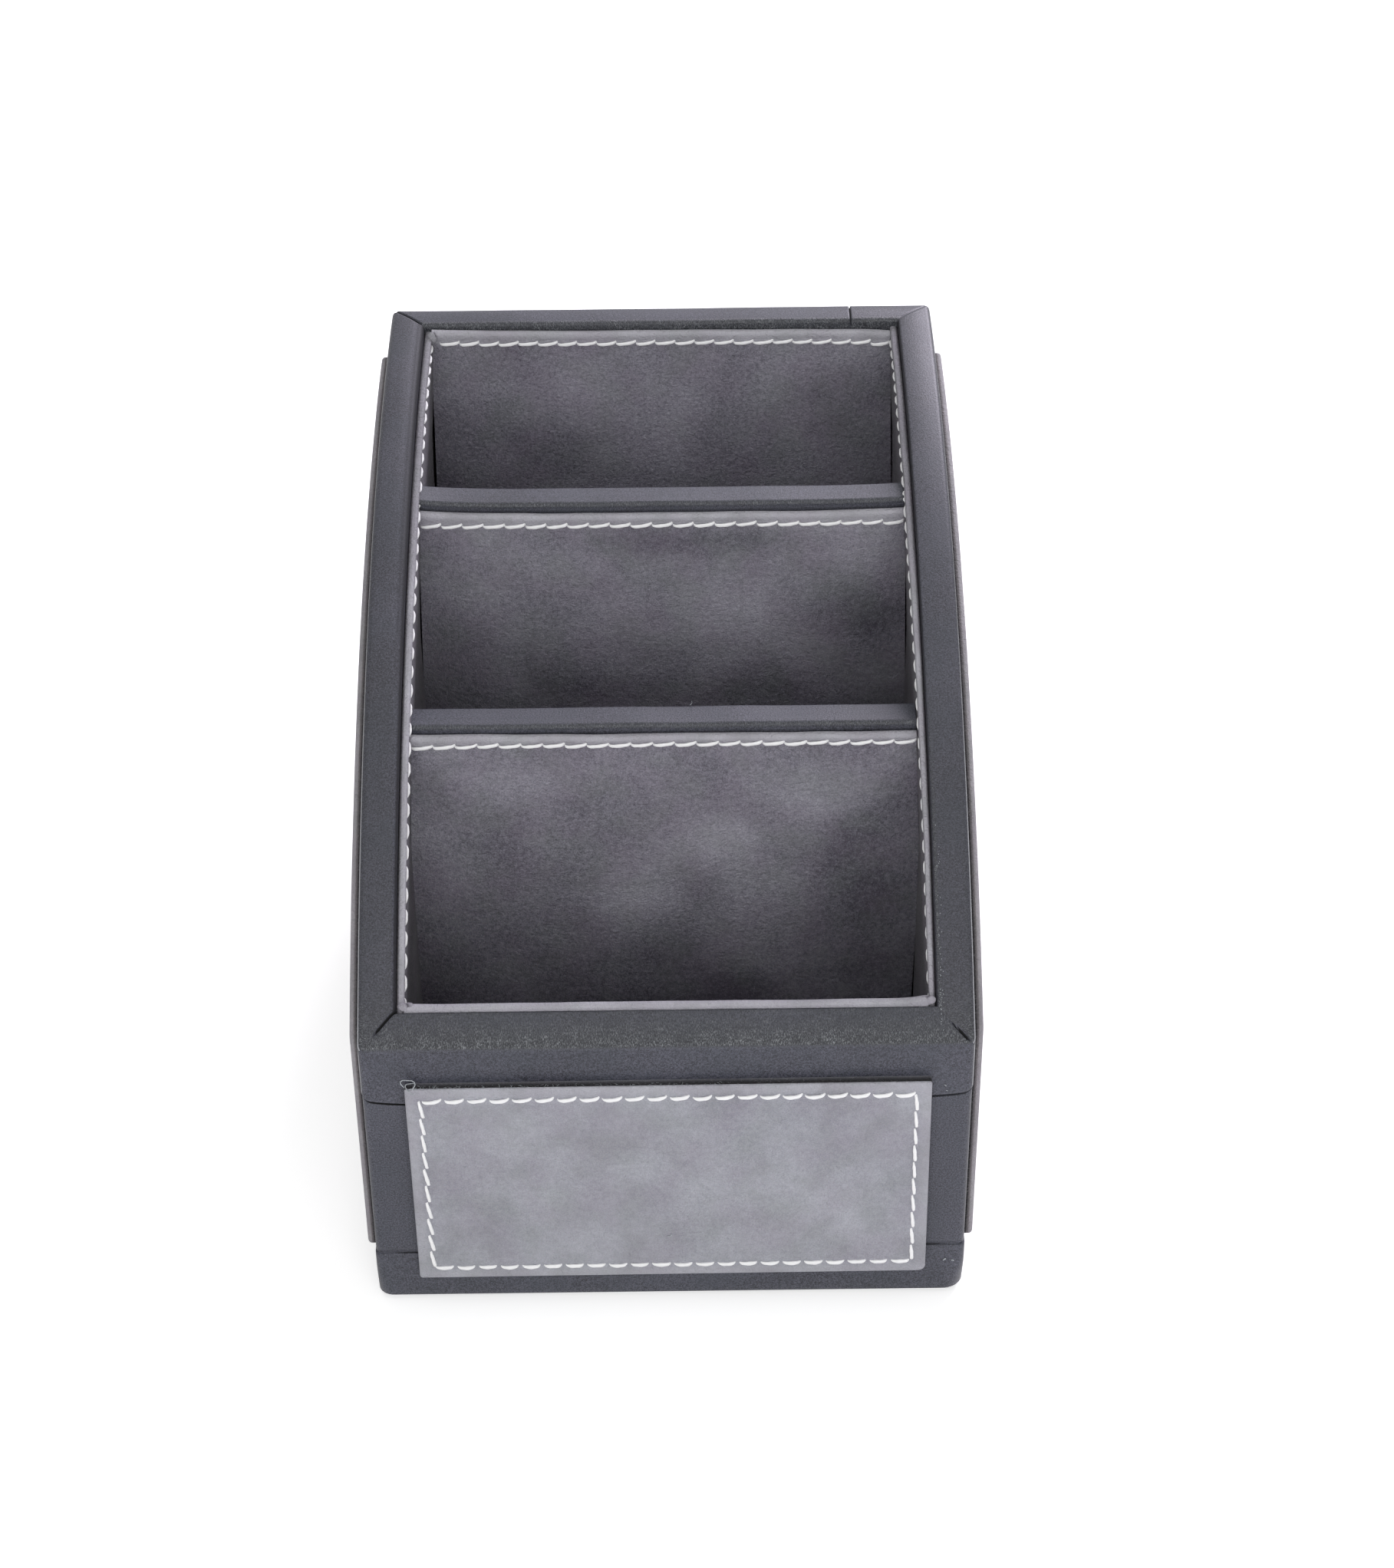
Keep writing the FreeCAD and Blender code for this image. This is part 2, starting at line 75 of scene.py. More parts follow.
# Softness of the leatherette
OUTER_ROUND = {"left": 1.15, "right": 1.0, "front": 0.45, "back": 1.2}
INNER_ROUND = {"left": 1.0, "right": 0.5, "front": 0.7, "back": 0.7}
RIM_CROWN = 0.14
CORNER_RADIUS = 1.3
FOOT_RADIUS = 0.75
STRIP_DROP = 12.3
FOOT_STRIP = 9.9
STRIP_STEP = 0.14


def smooth(value):
    """Eases from 0 to 1."""
    value = max(0.0, min(1.0, value))
    return value * value * (3 - 2 * value)


def mix(first, second, share):
    return first + (second - first) * share


def bell(distance, reach):
    """1 at a place, and less on both sides of it."""
    return math.exp(-(distance / reach) ** 2)


def wave(x, y, z, size):
    """Soft noise between about -1 and 1, with bumps of about the given size in millimetres."""
    return noise.noise(Vector((x, y, z)) / size) * 1.6


def rounding(steps=6):
    """Pairs of 1 - cosine and 1 - sine over a quarter turn, from 0 to 90 degrees."""
    angles = [math.pi / 2 * step / steps for step in range(steps + 1)]
    return [(1 - math.cos(angle), 1 - math.sin(angle)) for angle in angles]


def arc_height(y, radius=ARC_RADIUS):
    """Height above the floor of the side boards' top edge, or of an arc within it."""
    y = min(max(y, FRONT), BACK)
    return ARC_CENTRE + math.sqrt(radius ** 2 - (BACK - y) ** 2)


def arc_angle(y, radius=ARC_RADIUS):
    """How steep that arc is, in radians: level at the back."""
    return math.asin((BACK - y) / radius)


def box_of(node):
    """The two corners of a node's box, in millimetres."""
    low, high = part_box(node)
    return low / MM, high / MM


# Meshes

def add_object(name, data):
    added = bpy.data.objects.new(name, data)
    bpy.context.scene.collection.objects.link(added)
    return added


def make_piece(name, points, faces, material, replaced=(), values=None, sharp=()):
    """A smooth shaded mesh that rides on the body. Points are in millimetres."""
    mesh = bpy.data.meshes.new(name)
    mesh.from_pydata([Vector(point) * MM for point in points], [], faces)
    for label, numbers in (values or {}).items():
        attribute = mesh.attributes.new(label, "FLOAT", "POINT")
        attribute.data.foreach_set("value", numbers)
    shape = bmesh.new()
    shape.from_mesh(mesh)
    bmesh.ops.recalc_face_normals(shape, faces=shape.faces)
    for face in shape.faces:
        face.smooth = True
    wanted = {tuple(sorted(pair)) for pair in sharp}
    for edge in shape.edges:
        ends = tuple(sorted(vertex.index for vertex in edge.verts))
        if ends in wanted:
            edge.smooth = False
    shape.to_mesh(mesh)
    shape.free()
    piece = add_object(name, mesh)
    mesh.materials.append(material)
    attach(piece, "root")
    if replaced:
        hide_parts(*replaced)


def loop_edges(loop):
    """The edges of a closed loop of points."""
    return list(zip(loop, loop[1:] + loop[:1]))


def grid_faces(rows, columns, ring=False):
    """Quads between rows of points that are listed row by row. A ring joins its last column."""
    faces = []
    for row in range(rows - 1):
        for column in range(columns if ring else columns - 1):
            following = (column + 1) % columns
            faces.append((row * columns + column, row * columns + following,
                          (row + 1) * columns + following, (row + 1) * columns + column))
    return faces


def tube_mesh(rows, columns, start=0):
    """Faces and sharp edges of a closed profile carried along rows, with an end face at each end.

    start is the number of its first point.
    """
    first = list(range(start, start + columns))
    last = [index + (rows - 1) * columns for index in first]
    faces = [tuple(start + index for index in face) for face in grid_faces(rows, columns, ring=True)]
    faces += [tuple(reversed(first)), tuple(last)]
    return faces, loop_edges(first) + loop_edges(last)


# Materials

class Nodes:
    """The node tree of a material or world, with short calls that add and join nodes."""

    def __init__(self, owner, output):
        owner.use_nodes = True
        self.owner = owner
        self.tree = owner.node_tree
        self.tree.nodes.clear()
        self.output = self.add(output)

    def add(self, kind, inputs=None, **settings):
        node = self.tree.nodes.new(kind)
        for key, value in settings.items():
            setattr(node, key, value)
        for key, value in (inputs or {}).items():
            if isinstance(value, bpy.types.NodeSocket):
                self.tree.links.new(value, node.inputs[key])
            else:
                node.inputs[key].default_value = value
        return node

    def show(self, surface):
        self.tree.links.new(surface.outputs[0], self.output.inputs["Surface"])

    def math(self, operation, first, second=0.0, third=0.0, clamp=False):
        return self.add("ShaderNodeMath", {0: first, 1: second, 2: third}, operation=operation,
                        use_clamp=clamp).outputs[0]

    def times(self, first, second):
        return self.math("MULTIPLY", first, second)

    def plus(self, first, second, clamp=False):
        return self.math("ADD", first, second, clamp=clamp)

    def seen_directly(self):
        """1 for rays from the camera, from a reflection or through glass, and 0 for the others."""
        path = self.add("ShaderNodeLightPath").outputs
        seen = self.math("MAXIMUM", path["Is Camera Ray"], path["Is Glossy Ray"])
        return self.math("MAXIMUM", seen, path["Is Transmission Ray"])


class Recipe(Nodes):
    """A material that is painted in the object's own coordinates. Sizes are in millimetres."""

    def __init__(self, name):
        super().__init__(bpy.data.materials.new(name), "ShaderNodeOutputMaterial")
        self.place = self.add("ShaderNodeTexCoord").outputs["Object"]

    def moved(self, offset, stretch=(1, 1, 1)):
        return self.add("ShaderNodeMapping", {"Vector": self.place, "Location": offset,
                                              "Scale": stretch}).outputs[0]

    def noise(self, size, detail=2.0, roughness=0.5, place=None, distortion=0.0):
        """Noise between 0 and 1 with features of about the given size."""
        return self.add("ShaderNodeTexNoise",
                        {"Vector": place or self.place, "Scale": 1 / (size * MM), "Detail": detail,
                         "Roughness": roughness, "Distortion": distortion}).outputs["Fac"]

    def cells(self, size):
        """Distance to the middle of irregular cells of about the given size."""
        return self.add("ShaderNodeTexVoronoi", {"Vector": self.place,
                                                 "Scale": 1 / (size * MM)}).outputs["Distance"]

    def vector(self, operation, *given):
        return self.add("ShaderNodeVectorMath", dict(enumerate(given)), operation=operation).outputs

    def remap(self, value, low, high, bottom=0.0, top=1.0, ease="LINEAR"):
        """Carries low..high to bottom..top."""
        return self.add("ShaderNodeMapRange", {"Value": value, "From Min": low, "From Max": high,
                                               "To Min": bottom, "To Max": top},
                        interpolation_type=ease).outputs[0]

    def blend(self, share, first, second):
        """A colour between two, each a colour or another node's output."""
        return self.add("ShaderNodeMix", {0: share, 6: first, 7: second},
                        data_type="RGBA").outputs[2]

    def value(self, name):
        """A number that the mesh holds at each point."""
        return self.add("ShaderNodeAttribute", attribute_name=name).outputs["Fac"]

    def finish(self, colour, roughness, height, depth, **uniform):
        """The material, with bumps of the given depth where height is high."""
        normal = self.add("ShaderNodeBump", {"Height": height, "Distance": depth * MM,
                                             "Strength": 1.0}).outputs[0]
        inputs = {"Base Color": colour, "Roughness": roughness, "Normal": normal}
        inputs.update((key.replace("_", " "), value) for key, value in uniform.items())
        self.show(self.add("ShaderNodeBsdfPrincipled", inputs))
        return self.owner


def shade(red, green, blue):
    """A colour given as it looks on a screen, from 0 to 255, in the linear values nodes take."""
    def linear(value):
        value = value / 255
        return value / 12.92 if value <= 0.04045 else ((value + 0.055) / 1.055) ** 2.4
    return (linear(red), linear(green), linear(blue), 1.0)


def leatherette(name, dark, light, stretch):
    """Black leatherette with a fine grain that opens, and catches the light, where grain is high.

    stretch is small in the directions in which the pull over an edge draws the grain out. The
    light that the open grain catches is painted: pale specks as glints. Grain above 1 paints a
    highlight along an outer edge, and below 0 paints shade, near black, in seams, slits and crevices.
    """
    recipe = Recipe(name)
    given = recipe.value("grain")
    grain = recipe.remap(given, 0.0, 1.0)
    seam = recipe.remap(given, 0.0, -1.0)
    painted_light = recipe.remap(given, 1.0, 2.0)
    clouds = recipe.noise(22, 3.0)
    grit = recipe.noise(0.3, 4.0, 0.95)
    tone = recipe.blend(recipe.plus(recipe.remap(clouds, 0.3, 0.7, 0.24, 0.42),
                                    recipe.remap(grit, 0.33, 0.67, -0.55, 0.65)), dark, light)
    tint = recipe.noise(9, 2.0, 0.5, recipe.moved((0.4, 0.3, 0.1)))
    tone = recipe.blend(recipe.remap(tint, 0.4, 0.65, 0.0, 0.25), tone, shade(60, 66, 74))
    # Darker where the grain is high.
    tone = recipe.blend(recipe.times(grain, 0.75), tone, shade(30, 32, 34))
    # Pale specks where the grain is high: painted glints.
    glint_noise = recipe.noise(0.15, 2.0, 0.6, recipe.moved((0.2, 0.1, 0.3), stretch))
    patchy = recipe.remap(recipe.noise(1.6, 3.0, 0.7), 0.35, 0.65, 0.25)
    painted_glints = recipe.times(recipe.times(recipe.remap(glint_noise, 0.47, 0.64), patchy),
                         recipe.times(grain, grain))
    colour = recipe.blend(painted_glints, tone, shade(134, 137, 141))
    # A painted highlight where grain is above 1, and painted shade where it is below 0.
    colour = recipe.blend(painted_light, colour, shade(190, 191, 196))
    colour = recipe.blend(seam, colour, shade(8, 8, 9))
    pebbles = recipe.times(recipe.plus(recipe.cells(0.3), recipe.noise(0.2, 2.0, 0.6)),
                           recipe.math("MULTIPLY_ADD", grain, 1.6, 0.35))
    roughness = recipe.math("MULTIPLY_ADD", seam, 0.4, recipe.remap(clouds, 0.25, 0.75, 0.4, 0.5))
    return recipe.finish(colour, roughness, pebbles, 0.03, Specular_IOR_Level=0.38)


def nubuck(name, dark, light, offset, patches=(), along="x"):
    """Grey nubuck: cloudy where the nap lies differently, with a short creased nap.

    Its edge value paints a pale fold where it is above 0, partly as painted light, and below 0 a
    dark cut edge that is partly painted shade. Patches are paler or darker clouds, partly its own
    and partly painted light and shade; each is a place along and up, half its width and height,
    and how much paler it is.
    """
    recipe = Recipe(name)
    place = recipe.moved(offset)
    broad = recipe.noise(34, 3.0, 0.55, place, 0.6)
    clouds = recipe.remap(recipe.noise(13, 2.0, 0.5, place, 0.4), 0.28, 0.72, -0.12, 0.12)
    total = recipe.plus(recipe.remap(broad, 0.3, 0.7, 0.32, 0.6), clouds)
    endless = 1e6
    for across, up, wide, tall, amount in patches:
        middle = (across, 0, up) if along == "x" else (0, across, up)
        reach = (wide, endless, tall) if along == "x" else (endless, wide, tall)
        shift = recipe.vector("SUBTRACT", recipe.place, Vector(middle) * MM)[0]
        length = recipe.vector("LENGTH", recipe.vector("DIVIDE", shift, Vector(reach) * MM)[0])
        wobble = recipe.math("MULTIPLY_ADD", broad, 0.9, length["Value"])
        total = recipe.plus(total, recipe.remap(wobble, 0.35, 1.45, amount, 0.0, "SMOOTHSTEP"))
    speckle = recipe.remap(recipe.noise(0.28, 4.0, 0.9, place), 0.32, 0.68, -0.35, 0.35)
    pebble = recipe.remap(recipe.noise(0.8, 2.0, 0.6, place), 0.32, 0.68, -0.13, 0.13)
    tone = recipe.blend(recipe.plus(recipe.plus(total, pebble), speckle, clamp=True), dark, light)
    given = recipe.value("edge")
    edge = recipe.remap(given, 0.0, 1.0)
    cut_and_shade = recipe.remap(given, 0.0, -1.0)
    # Above 0: a paler fold, partly painted light.
    tone = recipe.blend(recipe.times(edge, 0.85), tone, shade(192, 191, 198))
    for size, shift, low, hue in ((9, (0.3, 0.1, 0.2), 0.4, shade(131, 116, 135)),
                                  (7, (0.1, 0.6, 0.4), 0.45, shade(123, 131, 125))):
        spots = recipe.remap(recipe.noise(size, 2.0, 0.5, recipe.moved(shift)), low, 0.65)
        tone = recipe.blend(recipe.times(spots, 0.4), tone, recipe.blend(0.5, tone, hue))
    # Below 0: a dark cut edge with ragged fibres, which also paints shade in creases, behind a lining's
    # top and at the panels' edges.
    ragged = recipe.remap(recipe.noise(0.5, 3.0, 0.7), 0.55, 0.7, 0.0, 0.5)
    edging = recipe.blend(ragged, shade(24, 23, 25), shade(120, 118, 122))
    colour = recipe.blend(cut_and_shade, tone, edging)
    creased = recipe.noise(1.1, 2.0, 0.6, recipe.moved(offset, (0.9, 1, 1.1)), 0.8)
    nap = recipe.plus(recipe.times(recipe.noise(0.32, 2.0, 0.7, place), 0.7),
                      recipe.times(creased, 1.1))
    roughness = recipe.remap(broad, 0.2, 0.8, 0.9, 0.78)
    return recipe.finish(colour, roughness, nap, 0.38, Specular_IOR_Level=0.25,
                         Sheen_Weight=0.1, Sheen_Roughness=0.45)


def thread(name):
    """White polyester thread, its two strands drawn by the mesh and its fibres by the bump."""
    recipe = Recipe(name)
    soft = recipe.noise(4, 2.0)
    colour = recipe.blend(soft, shade(251, 251, 252), shade(255, 255, 255))
    return recipe.finish(colour, recipe.remap(soft, 0.3, 0.7, 0.6, 0.75),
                         recipe.noise(0.16, 3.0, 0.7), 0.02,
                         Specular_IOR_Level=0.5, Sheen_Weight=0.8, Sheen_Roughness=0.6)


def felt(name, dark, light, size=0.6):
    """Pressed fibre: felt under the base, or card where the size is larger."""
    recipe = Recipe(name)
    fibres = recipe.noise(size, 4.0, 0.8)
    colour = recipe.blend(recipe.remap(fibres, 0.3, 0.7), dark, light)
    return recipe.finish(colour, recipe.remap(fibres, 0.3, 0.7, 0.95, 0.85), fibres, 0.15,
                         Specular_IOR_Level=0.2)


LEATHER = leatherette("black_leatherette", shade(26, 26, 33), shade(106, 107, 120), (1, 0.4, 0.4))
SIDE_LEATHER = leatherette("black_leatherette_sides", shade(25, 25, 31), shade(102, 102, 114),
                           (0.5, 1, 1))
THREAD = thread("white_thread")


# Leatherette walls

WALLS = {
    # origin corner, direction along, direction inwards, length, own board, boards met
    "front_board": ((-HALF_WIDTH, FRONT), (1, 0), (0, 1), 2 * HALF_WIDTH, "front", "left", "right"),
    "right_side_board": ((HALF_WIDTH, FRONT), (0, 1), (-1, 0), BACK - FRONT, "right", "front", "back"),
    "back_board": ((HALF_WIDTH, BACK), (-1, 0), (0, -1), 2 * HALF_WIDTH, "back", "right", "left"),
    "left_side_board": ((-HALF_WIDTH, BACK), (0, -1), (1, 0), BACK - FRONT, "left", "back", "front"),
}

# Mitre slits in the rim, by wall pair: from and to along the mitre, 0 outside and 1 inside, and depth
SLITS = {
    ("front", "left"): (0.40, 1.05, 0.75),
    ("front", "right"): (0.08, 0.56, 0.7),
    ("back", "left"): (0.02, 0.95, 0.75),
    ("back", "right"): (0.05, 1.0, 0.08),
}
SLIT_WIDTH = 0.4
JOINT_PLACE = 36.8        # where the rim strip's two ends meet on the back board
JOINT_HALF_WIDTH = 0.2
JOINT_STEPS = (-0.4, -0.2, -0.1, 0, 0.1, 0.2, 0.4)
END_STEPS = (0.0, 0.06, 0.14, 0.26, 0.45, 0.75, 1.15, 1.7, 2.4, 3.4, 4.8, 6.6)
ROW_STEP = 1.8
# Slits and the joint are painted dark as their shade, all dark at this depth
SHADED_DEPTH = 0.35         # an opening this deep is all dark
FAR_UP = 40.0             # a height that the foot's round corners don't reach
RIM_KINDS = ("inner", "inner_edge", "rim", "outer_edge")


def rail(kind, **given):
    """One line of a wall's profile, carried along the wall.

    share is how far in through the board, out and inn count the outer and inner roundings,
    top is 1 for a line that follows the rim and 0 for one that follows the foot. drop_out and
    drop_in count the roundings downwards, drop and rise are lengths below the rim and above the
    foot, sunk is a length inwards, corner is the corner's radius, and tilt is how much of the
    strip's rise towards the corners the line takes part in.
    """
    plain = dict.fromkeys(("share", "out", "inn", "drop_out", "drop_in", "drop", "rise", "corner",
                           "sunk", "tilt"), 0.0)
    return {**plain, "top": 1.0, "kind": kind, **given}


def wall_rails():
    """The closed profile: up the inner face, over the rim, down the outer face and under the foot."""
    rails = [rail("inner", share=1, drop_in=1, top=top, drop=3.0) for top in (0.0, 0.5, 0.9)]
    rails += [rail("inner", share=1, drop_in=1, drop=drop) for drop in (3.0, 1.6, 0.8, 0.4)]
    for away, below in reversed(rounding()):
        rails.append(rail("inner_edge", share=1, inn=below, drop_in=away, drop=RIM_CROWN))
    for share in (0.9, 0.78, 0.64, 0.5, 0.36, 0.22, 0.1):
        rails.append(rail("rim", share=share, out=1 - share, inn=share,
                          drop=RIM_CROWN * (1 - 4 * share * (1 - share))))
    for away, below in rounding():
        rails.append(rail("outer_edge", out=below, drop_out=away, drop=RIM_CROWN,
                          corner=CORNER_RADIUS * (1 - below)))

    def outside(kind, **given):
        rails.append(rail(kind, corner=CORNER_RADIUS, **given))

    for share in (0.12, 0.3, 0.5, 0.7, 0.88, 0.965):
        outside("strip", drop_out=1 - share, drop=mix(RIM_CROWN, STRIP_DROP - 0.3, share), tilt=share)
    for drop, sunk in ((-0.12, 0.0), (-0.03, 0.05), (0.02, 0.25), (0.1, 0.6), (0.3, 0.7),
                       (0.48, 0.6), (0.56, 0.35), (0.62, STRIP_STEP), (0.75, STRIP_STEP - 0.02)):
        outside("strip_edge", drop=STRIP_DROP + drop, sunk=sunk, tilt=1)
    for share in (0.97, 0.85, 0.68, 0.5, 0.32, 0.15, 0.03):
        outside("face", top=share, drop=STRIP_DROP + 0.8, rise=FOOT_STRIP + 0.5, tilt=1,
                sunk=STRIP_STEP)
    for rise, sunk in ((0.46, STRIP_STEP), (0.4, 0.3), (0.3, 0.38), (0.1, 0.38), (0.02, 0.22),
                       (-0.03, 0.06), (-0.14, 0.0)):
        outside("foot_edge", top=0, rise=FOOT_STRIP + rise, sunk=sunk)
    for rise in (8.6, 7.0, 5.4, 4.0, 2.9, 2.0):
        outside("foot", top=0, rise=rise)
    for away, below in rounding()[1:]:
        outside("foot", top=0, rise=FOOT_RADIUS * below, sunk=FOOT_RADIUS * away)
    rails.append(rail("under", share=0.6, top=0))
    return rails


def inset(line, board):
    """How far inside a board's outer face a line of the profile lies."""
    return (line["share"] * BOARD[board] + line["out"] * OUTER_ROUND[board]
            - line["inn"] * INNER_ROUND[board] + line["sunk"])


def path_point(along, own, start, end, radius, length):
    """A place on a contour: half a rounded corner, a straight, and half a rounded corner.

    along is measured from the start's mitre. Gives the place along and inwards.
    """
    half_arc = radius * math.pi / 4
    straight = length - start - end - 2 * radius
    if half_arc <= along <= half_arc + straight:
        return (start + radius + along - half_arc, own)
    if along < half_arc:
        centre = start + radius
        angle = math.pi * 1.25 + along / radius
    else:
        centre = length - end - radius
        angle = math.pi * 1.5 + (along - half_arc - straight) / radius
    return (centre + radius * math.cos(angle), own + radius + radius * math.sin(angle))


def stations(span, joint):
    """Rows along a wall: close at its ends, even between them, and close again round a joint.

    joint is how far along the outside it lies, or None.
    """
    last = END_STEPS[-1]

    def between(kind, length):
        count = max(2, int(round(length / ROW_STEP)))
        return [(kind, index / count) for index in range(1, count)]

    if joint is None:
        rows = between("middle", span)
    else:
        rows = (between("before", joint - last) + [("joint", offset) for offset in JOINT_STEPS]
                + between("after", span - joint - last))
    return ([("start", offset) for offset in END_STEPS] + rows
            + [("end", offset) for offset in reversed(END_STEPS)])


def row_along(place, number, total, met):
    """How far along a contour a row lies. total is its length, and met where the joint lies."""
    last = END_STEPS[-1]
    reach = JOINT_STEPS[-1]
    return {"start": number, "end": total - number, "joint": met + number,
            "before": mix(last, met - reach, number),
            "after": mix(met + reach, total - last, number),
            "middle": mix(last, total - last, number)}[place]


def foot_corner(radius, height, right):
    """Corners grow rounder towards the foot, most at the right."""
    widest = 3.4 if right else 2.5
    reach = 7.0
    return mix(radius, widest, smooth((reach - height) / reach))


def foot_lift(x):
    """How much higher the foot's strip is wrapped, more at the right."""
    left_lift = 0.5
    right_lift = 1.1
    return mix(left_lift, right_lift, (x + HALF_WIDTH) / (2 * HALF_WIDTH))


def rail_height(own, other, line, x, y, from_end):
    """Height of a line of the profile. Near a corner the two walls' roundings meet halfway."""
    near_corner = 1 - smooth(from_end / 5.0)
    outer, inner = (mix(rounds[own], (rounds[own] + rounds[other]) / 2, near_corner)
                    for rounds in (OUTER_ROUND, INNER_ROUND))
    tilt = math.exp(-from_end / 5.0) + 0.5 * math.exp(-from_end / 0.6)
    if own == "front" and x > 0:
        tilt += 0.5 * smooth((x - 30) / 15)
    drop = (line["drop_out"] * outer + line["drop_in"] * inner + line["drop"]
            - line["tilt"] * tilt)
    upright = own == "front" and line["kind"] in ("strip", "strip_edge", "face", "foot_edge")
    z = mix(BASE + line["rise"], arc_height(FRONT if upright else y) - drop, line["top"])
    z += foot_lift(x) * (1 - line["top"]) * min(1.0, line["rise"] / FOOT_STRIP)
    if line["kind"] in RIM_KINDS:
        z += (0.05 * wave(x, y, z, 14) - 0.08) * line["top"]
    return z


def opening(own, other, kind, x, depth_in, from_end):
    """Depth of a mitre's slit, or of the joint where the strip's ends meet on the back board."""
    from_joint = abs(x - JOINT_PLACE)
    if kind not in RIM_KINDS:
        return 0.0
    if own == "back" and from_joint < JOINT_HALF_WIDTH:
        return (0.12 if kind == "inner" else 0.5) * (1 - from_joint / JOINT_HALF_WIDTH)
    if from_end >= SLIT_WIDTH or kind == "inner":
        return 0.0
    begin, end, depth = SLITS[tuple(sorted((own, other)))]
    across = depth_in / BOARD[own]
    return (depth * smooth((across - begin) / 0.14) * smooth((end - across) / 0.1)
            * (1 - from_end / SLIT_WIDTH) ** 0.6)


def make_wall(name):
    """A board's leatherette wrap, from mitre to mitre."""
    origin, direction, inwards, length, own, before, after = WALLS[name]
    rails = wall_rails()
    joint = HALF_WIDTH - JOINT_PLACE
    rows = stations(length, joint if own == "back" else None)
    right_end = {"front": "end", "back": "start"}.get(own)
    points = []
    grain = []
    for place, number in rows:
        for line in rails:
            own_inset, start, end = (inset(line, board) for board in (own, before, after))
            radius = line["corner"]
            if line["kind"] in ("foot", "foot_edge", "face"):
                radius = foot_corner(radius, mix(line["rise"], FAR_UP, line["top"]),
                                     own == "right" or place == right_end)
            total = length - start - end - 2 * radius + radius * math.pi / 2
            met = joint - start - radius + radius * math.pi / 4
            along = row_along(place, number, total, met)
            from_end = min(along, total - along)
            other = before if along < total / 2 else after
            reach, depth_in = path_point(along, own_inset, start, end, radius, length)
            x = origin[0] + direction[0] * reach + inwards[0] * depth_in
            y = origin[1] + direction[1] * reach + inwards[1] * depth_in
            opened = opening(own, other, line["kind"], x, depth_in, from_end)
            points.append((x, y, rail_height(own, other, line, x, y, from_end) - opened))
            # Painted shade in a slit or at the joint, darker the deeper it is.
            grain.append(mix(grain_at(own, line, x, y, from_end), -1.0, smooth(opened / SHADED_DEPTH)))
    faces, sharp = tube_mesh(len(rows), len(rails))
    make_piece(name + "_wrap", points, faces,
               SIDE_LEATHER if own in ("left", "right") else LEATHER, [name], {"grain": grain}, sharp)


def grain_at(own, line, x, y, from_end):
    """How open the grain is: most where the leatherette is pulled over an edge.

    It is above 1 where a highlight is painted along an outer edge, and below 0 where shade is
    painted: in the grooves under the strips, in the sides' inner crevices and on the left rim's
    inner part.
    """
    kind = line["kind"]
    # Painted shade in the grooves under the strips' edges, fainter at the front's right.
    if kind in ("strip_edge", "foot_edge"):
        groove_shade = smooth((from_end - 1.5) / 4) if kind == "foot_edge" else 1.0
        if own == "front" and kind == "strip_edge" and x > 0:
            groove_shade = 0.6
        return -groove_shade * smooth((line["sunk"] - STRIP_STEP) / 0.2)
    # High grain paints glints on the front's sloping rim and on the back board's inner face.
    if own == "front":
        if kind == "rim":
            return mix(1.05, 0.4, line["share"])
        if kind == "outer_edge":
            return mix(1.0, 0.1, smooth(line["drop_out"] / 0.4))
        return 0.55 if kind == "inner_edge" else 0.05
    if own == "back":
        return {"inner_edge": 0.8, "inner": 0.9, "rim": 0.15}.get(kind, 0.05)
    near_front = smooth((10 - y) / 70)
    # A painted highlight down the vertical front corners and along the sides' outer rim edges, stronger
    # towards the front.
    if kind == "strip" and 0.2 < from_end < 0.5 and y < 0:
        return 1.7
    if kind == "outer_edge" and 0.4 < line["drop_out"] < 0.6:
        return mix(1.1, 2.0, near_front)
    # The sides' inner edges: painted glints towards the front, then painted shade down into the crevice
    # beside the lining.
    if kind == "inner_edge":
        start = mix(-0.35 if own == "left" else 0.0, 0.9, near_front)
        return mix(start, -0.8, smooth((line["drop_in"] + (0.2 if own == "left" else 0)) / 0.6))
    level = {"rim": 0.3, "outer_edge": 0.45}.get(kind, 0.05) * mix(0.45, 1.0, near_front)
    # Painted shade on the inner part of the left rim, away from the front.
    if kind == "rim" and own == "left":
        level = mix(level, -0.2, smooth((line["share"] - 0.7) / 0.3) * (1 - near_front))
    corner = 0.5 * smooth((FRONT + 9 - y) / 9) if kind in ("rim", "outer_edge") else 0
    return min(1.0, level + corner)


# Nubuck boards

CROSS_STITCHES = 23
SIDE_STITCHES = 39
FACE_ROWS = 12
# Roundings of a lining's top, towards its face and towards its back
CROSS_ROUNDS = (0.7, 0.55)
SIDE_ROUNDS = (0.5, 0.95)

# How boards across the body bow at their tops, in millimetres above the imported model: at the
# middle, more at the left end and how far that reaches, more at the right end and its reach
LIFTS = {
    "rear_divider": (0.45, 0.9, 7.0, 0.45, 6.0),
    "front_divider": (0.0, 0.1, 7.0, 0.0, 6.0),
    "back_lining": (0.05, 0.9, 28.0, -0.5, 5.0),
    "rear_divider_front_lining": (0.5, 1.0, 9.0, 0.4, 6.0),
    "front_divider_front_lining": (0.12, 0.45, 20.0, 0.1, 8.0),
    "rear_divider_back_lining": (0.2, 0.0, 9.0, 0.0, 6.0),
    "front_divider_back_lining": (0.0, 0.0, 9.0, 0.0, 6.0),
    "front_lining": (0.0, 0.1, 3.0, 0.9, 2.5),
}
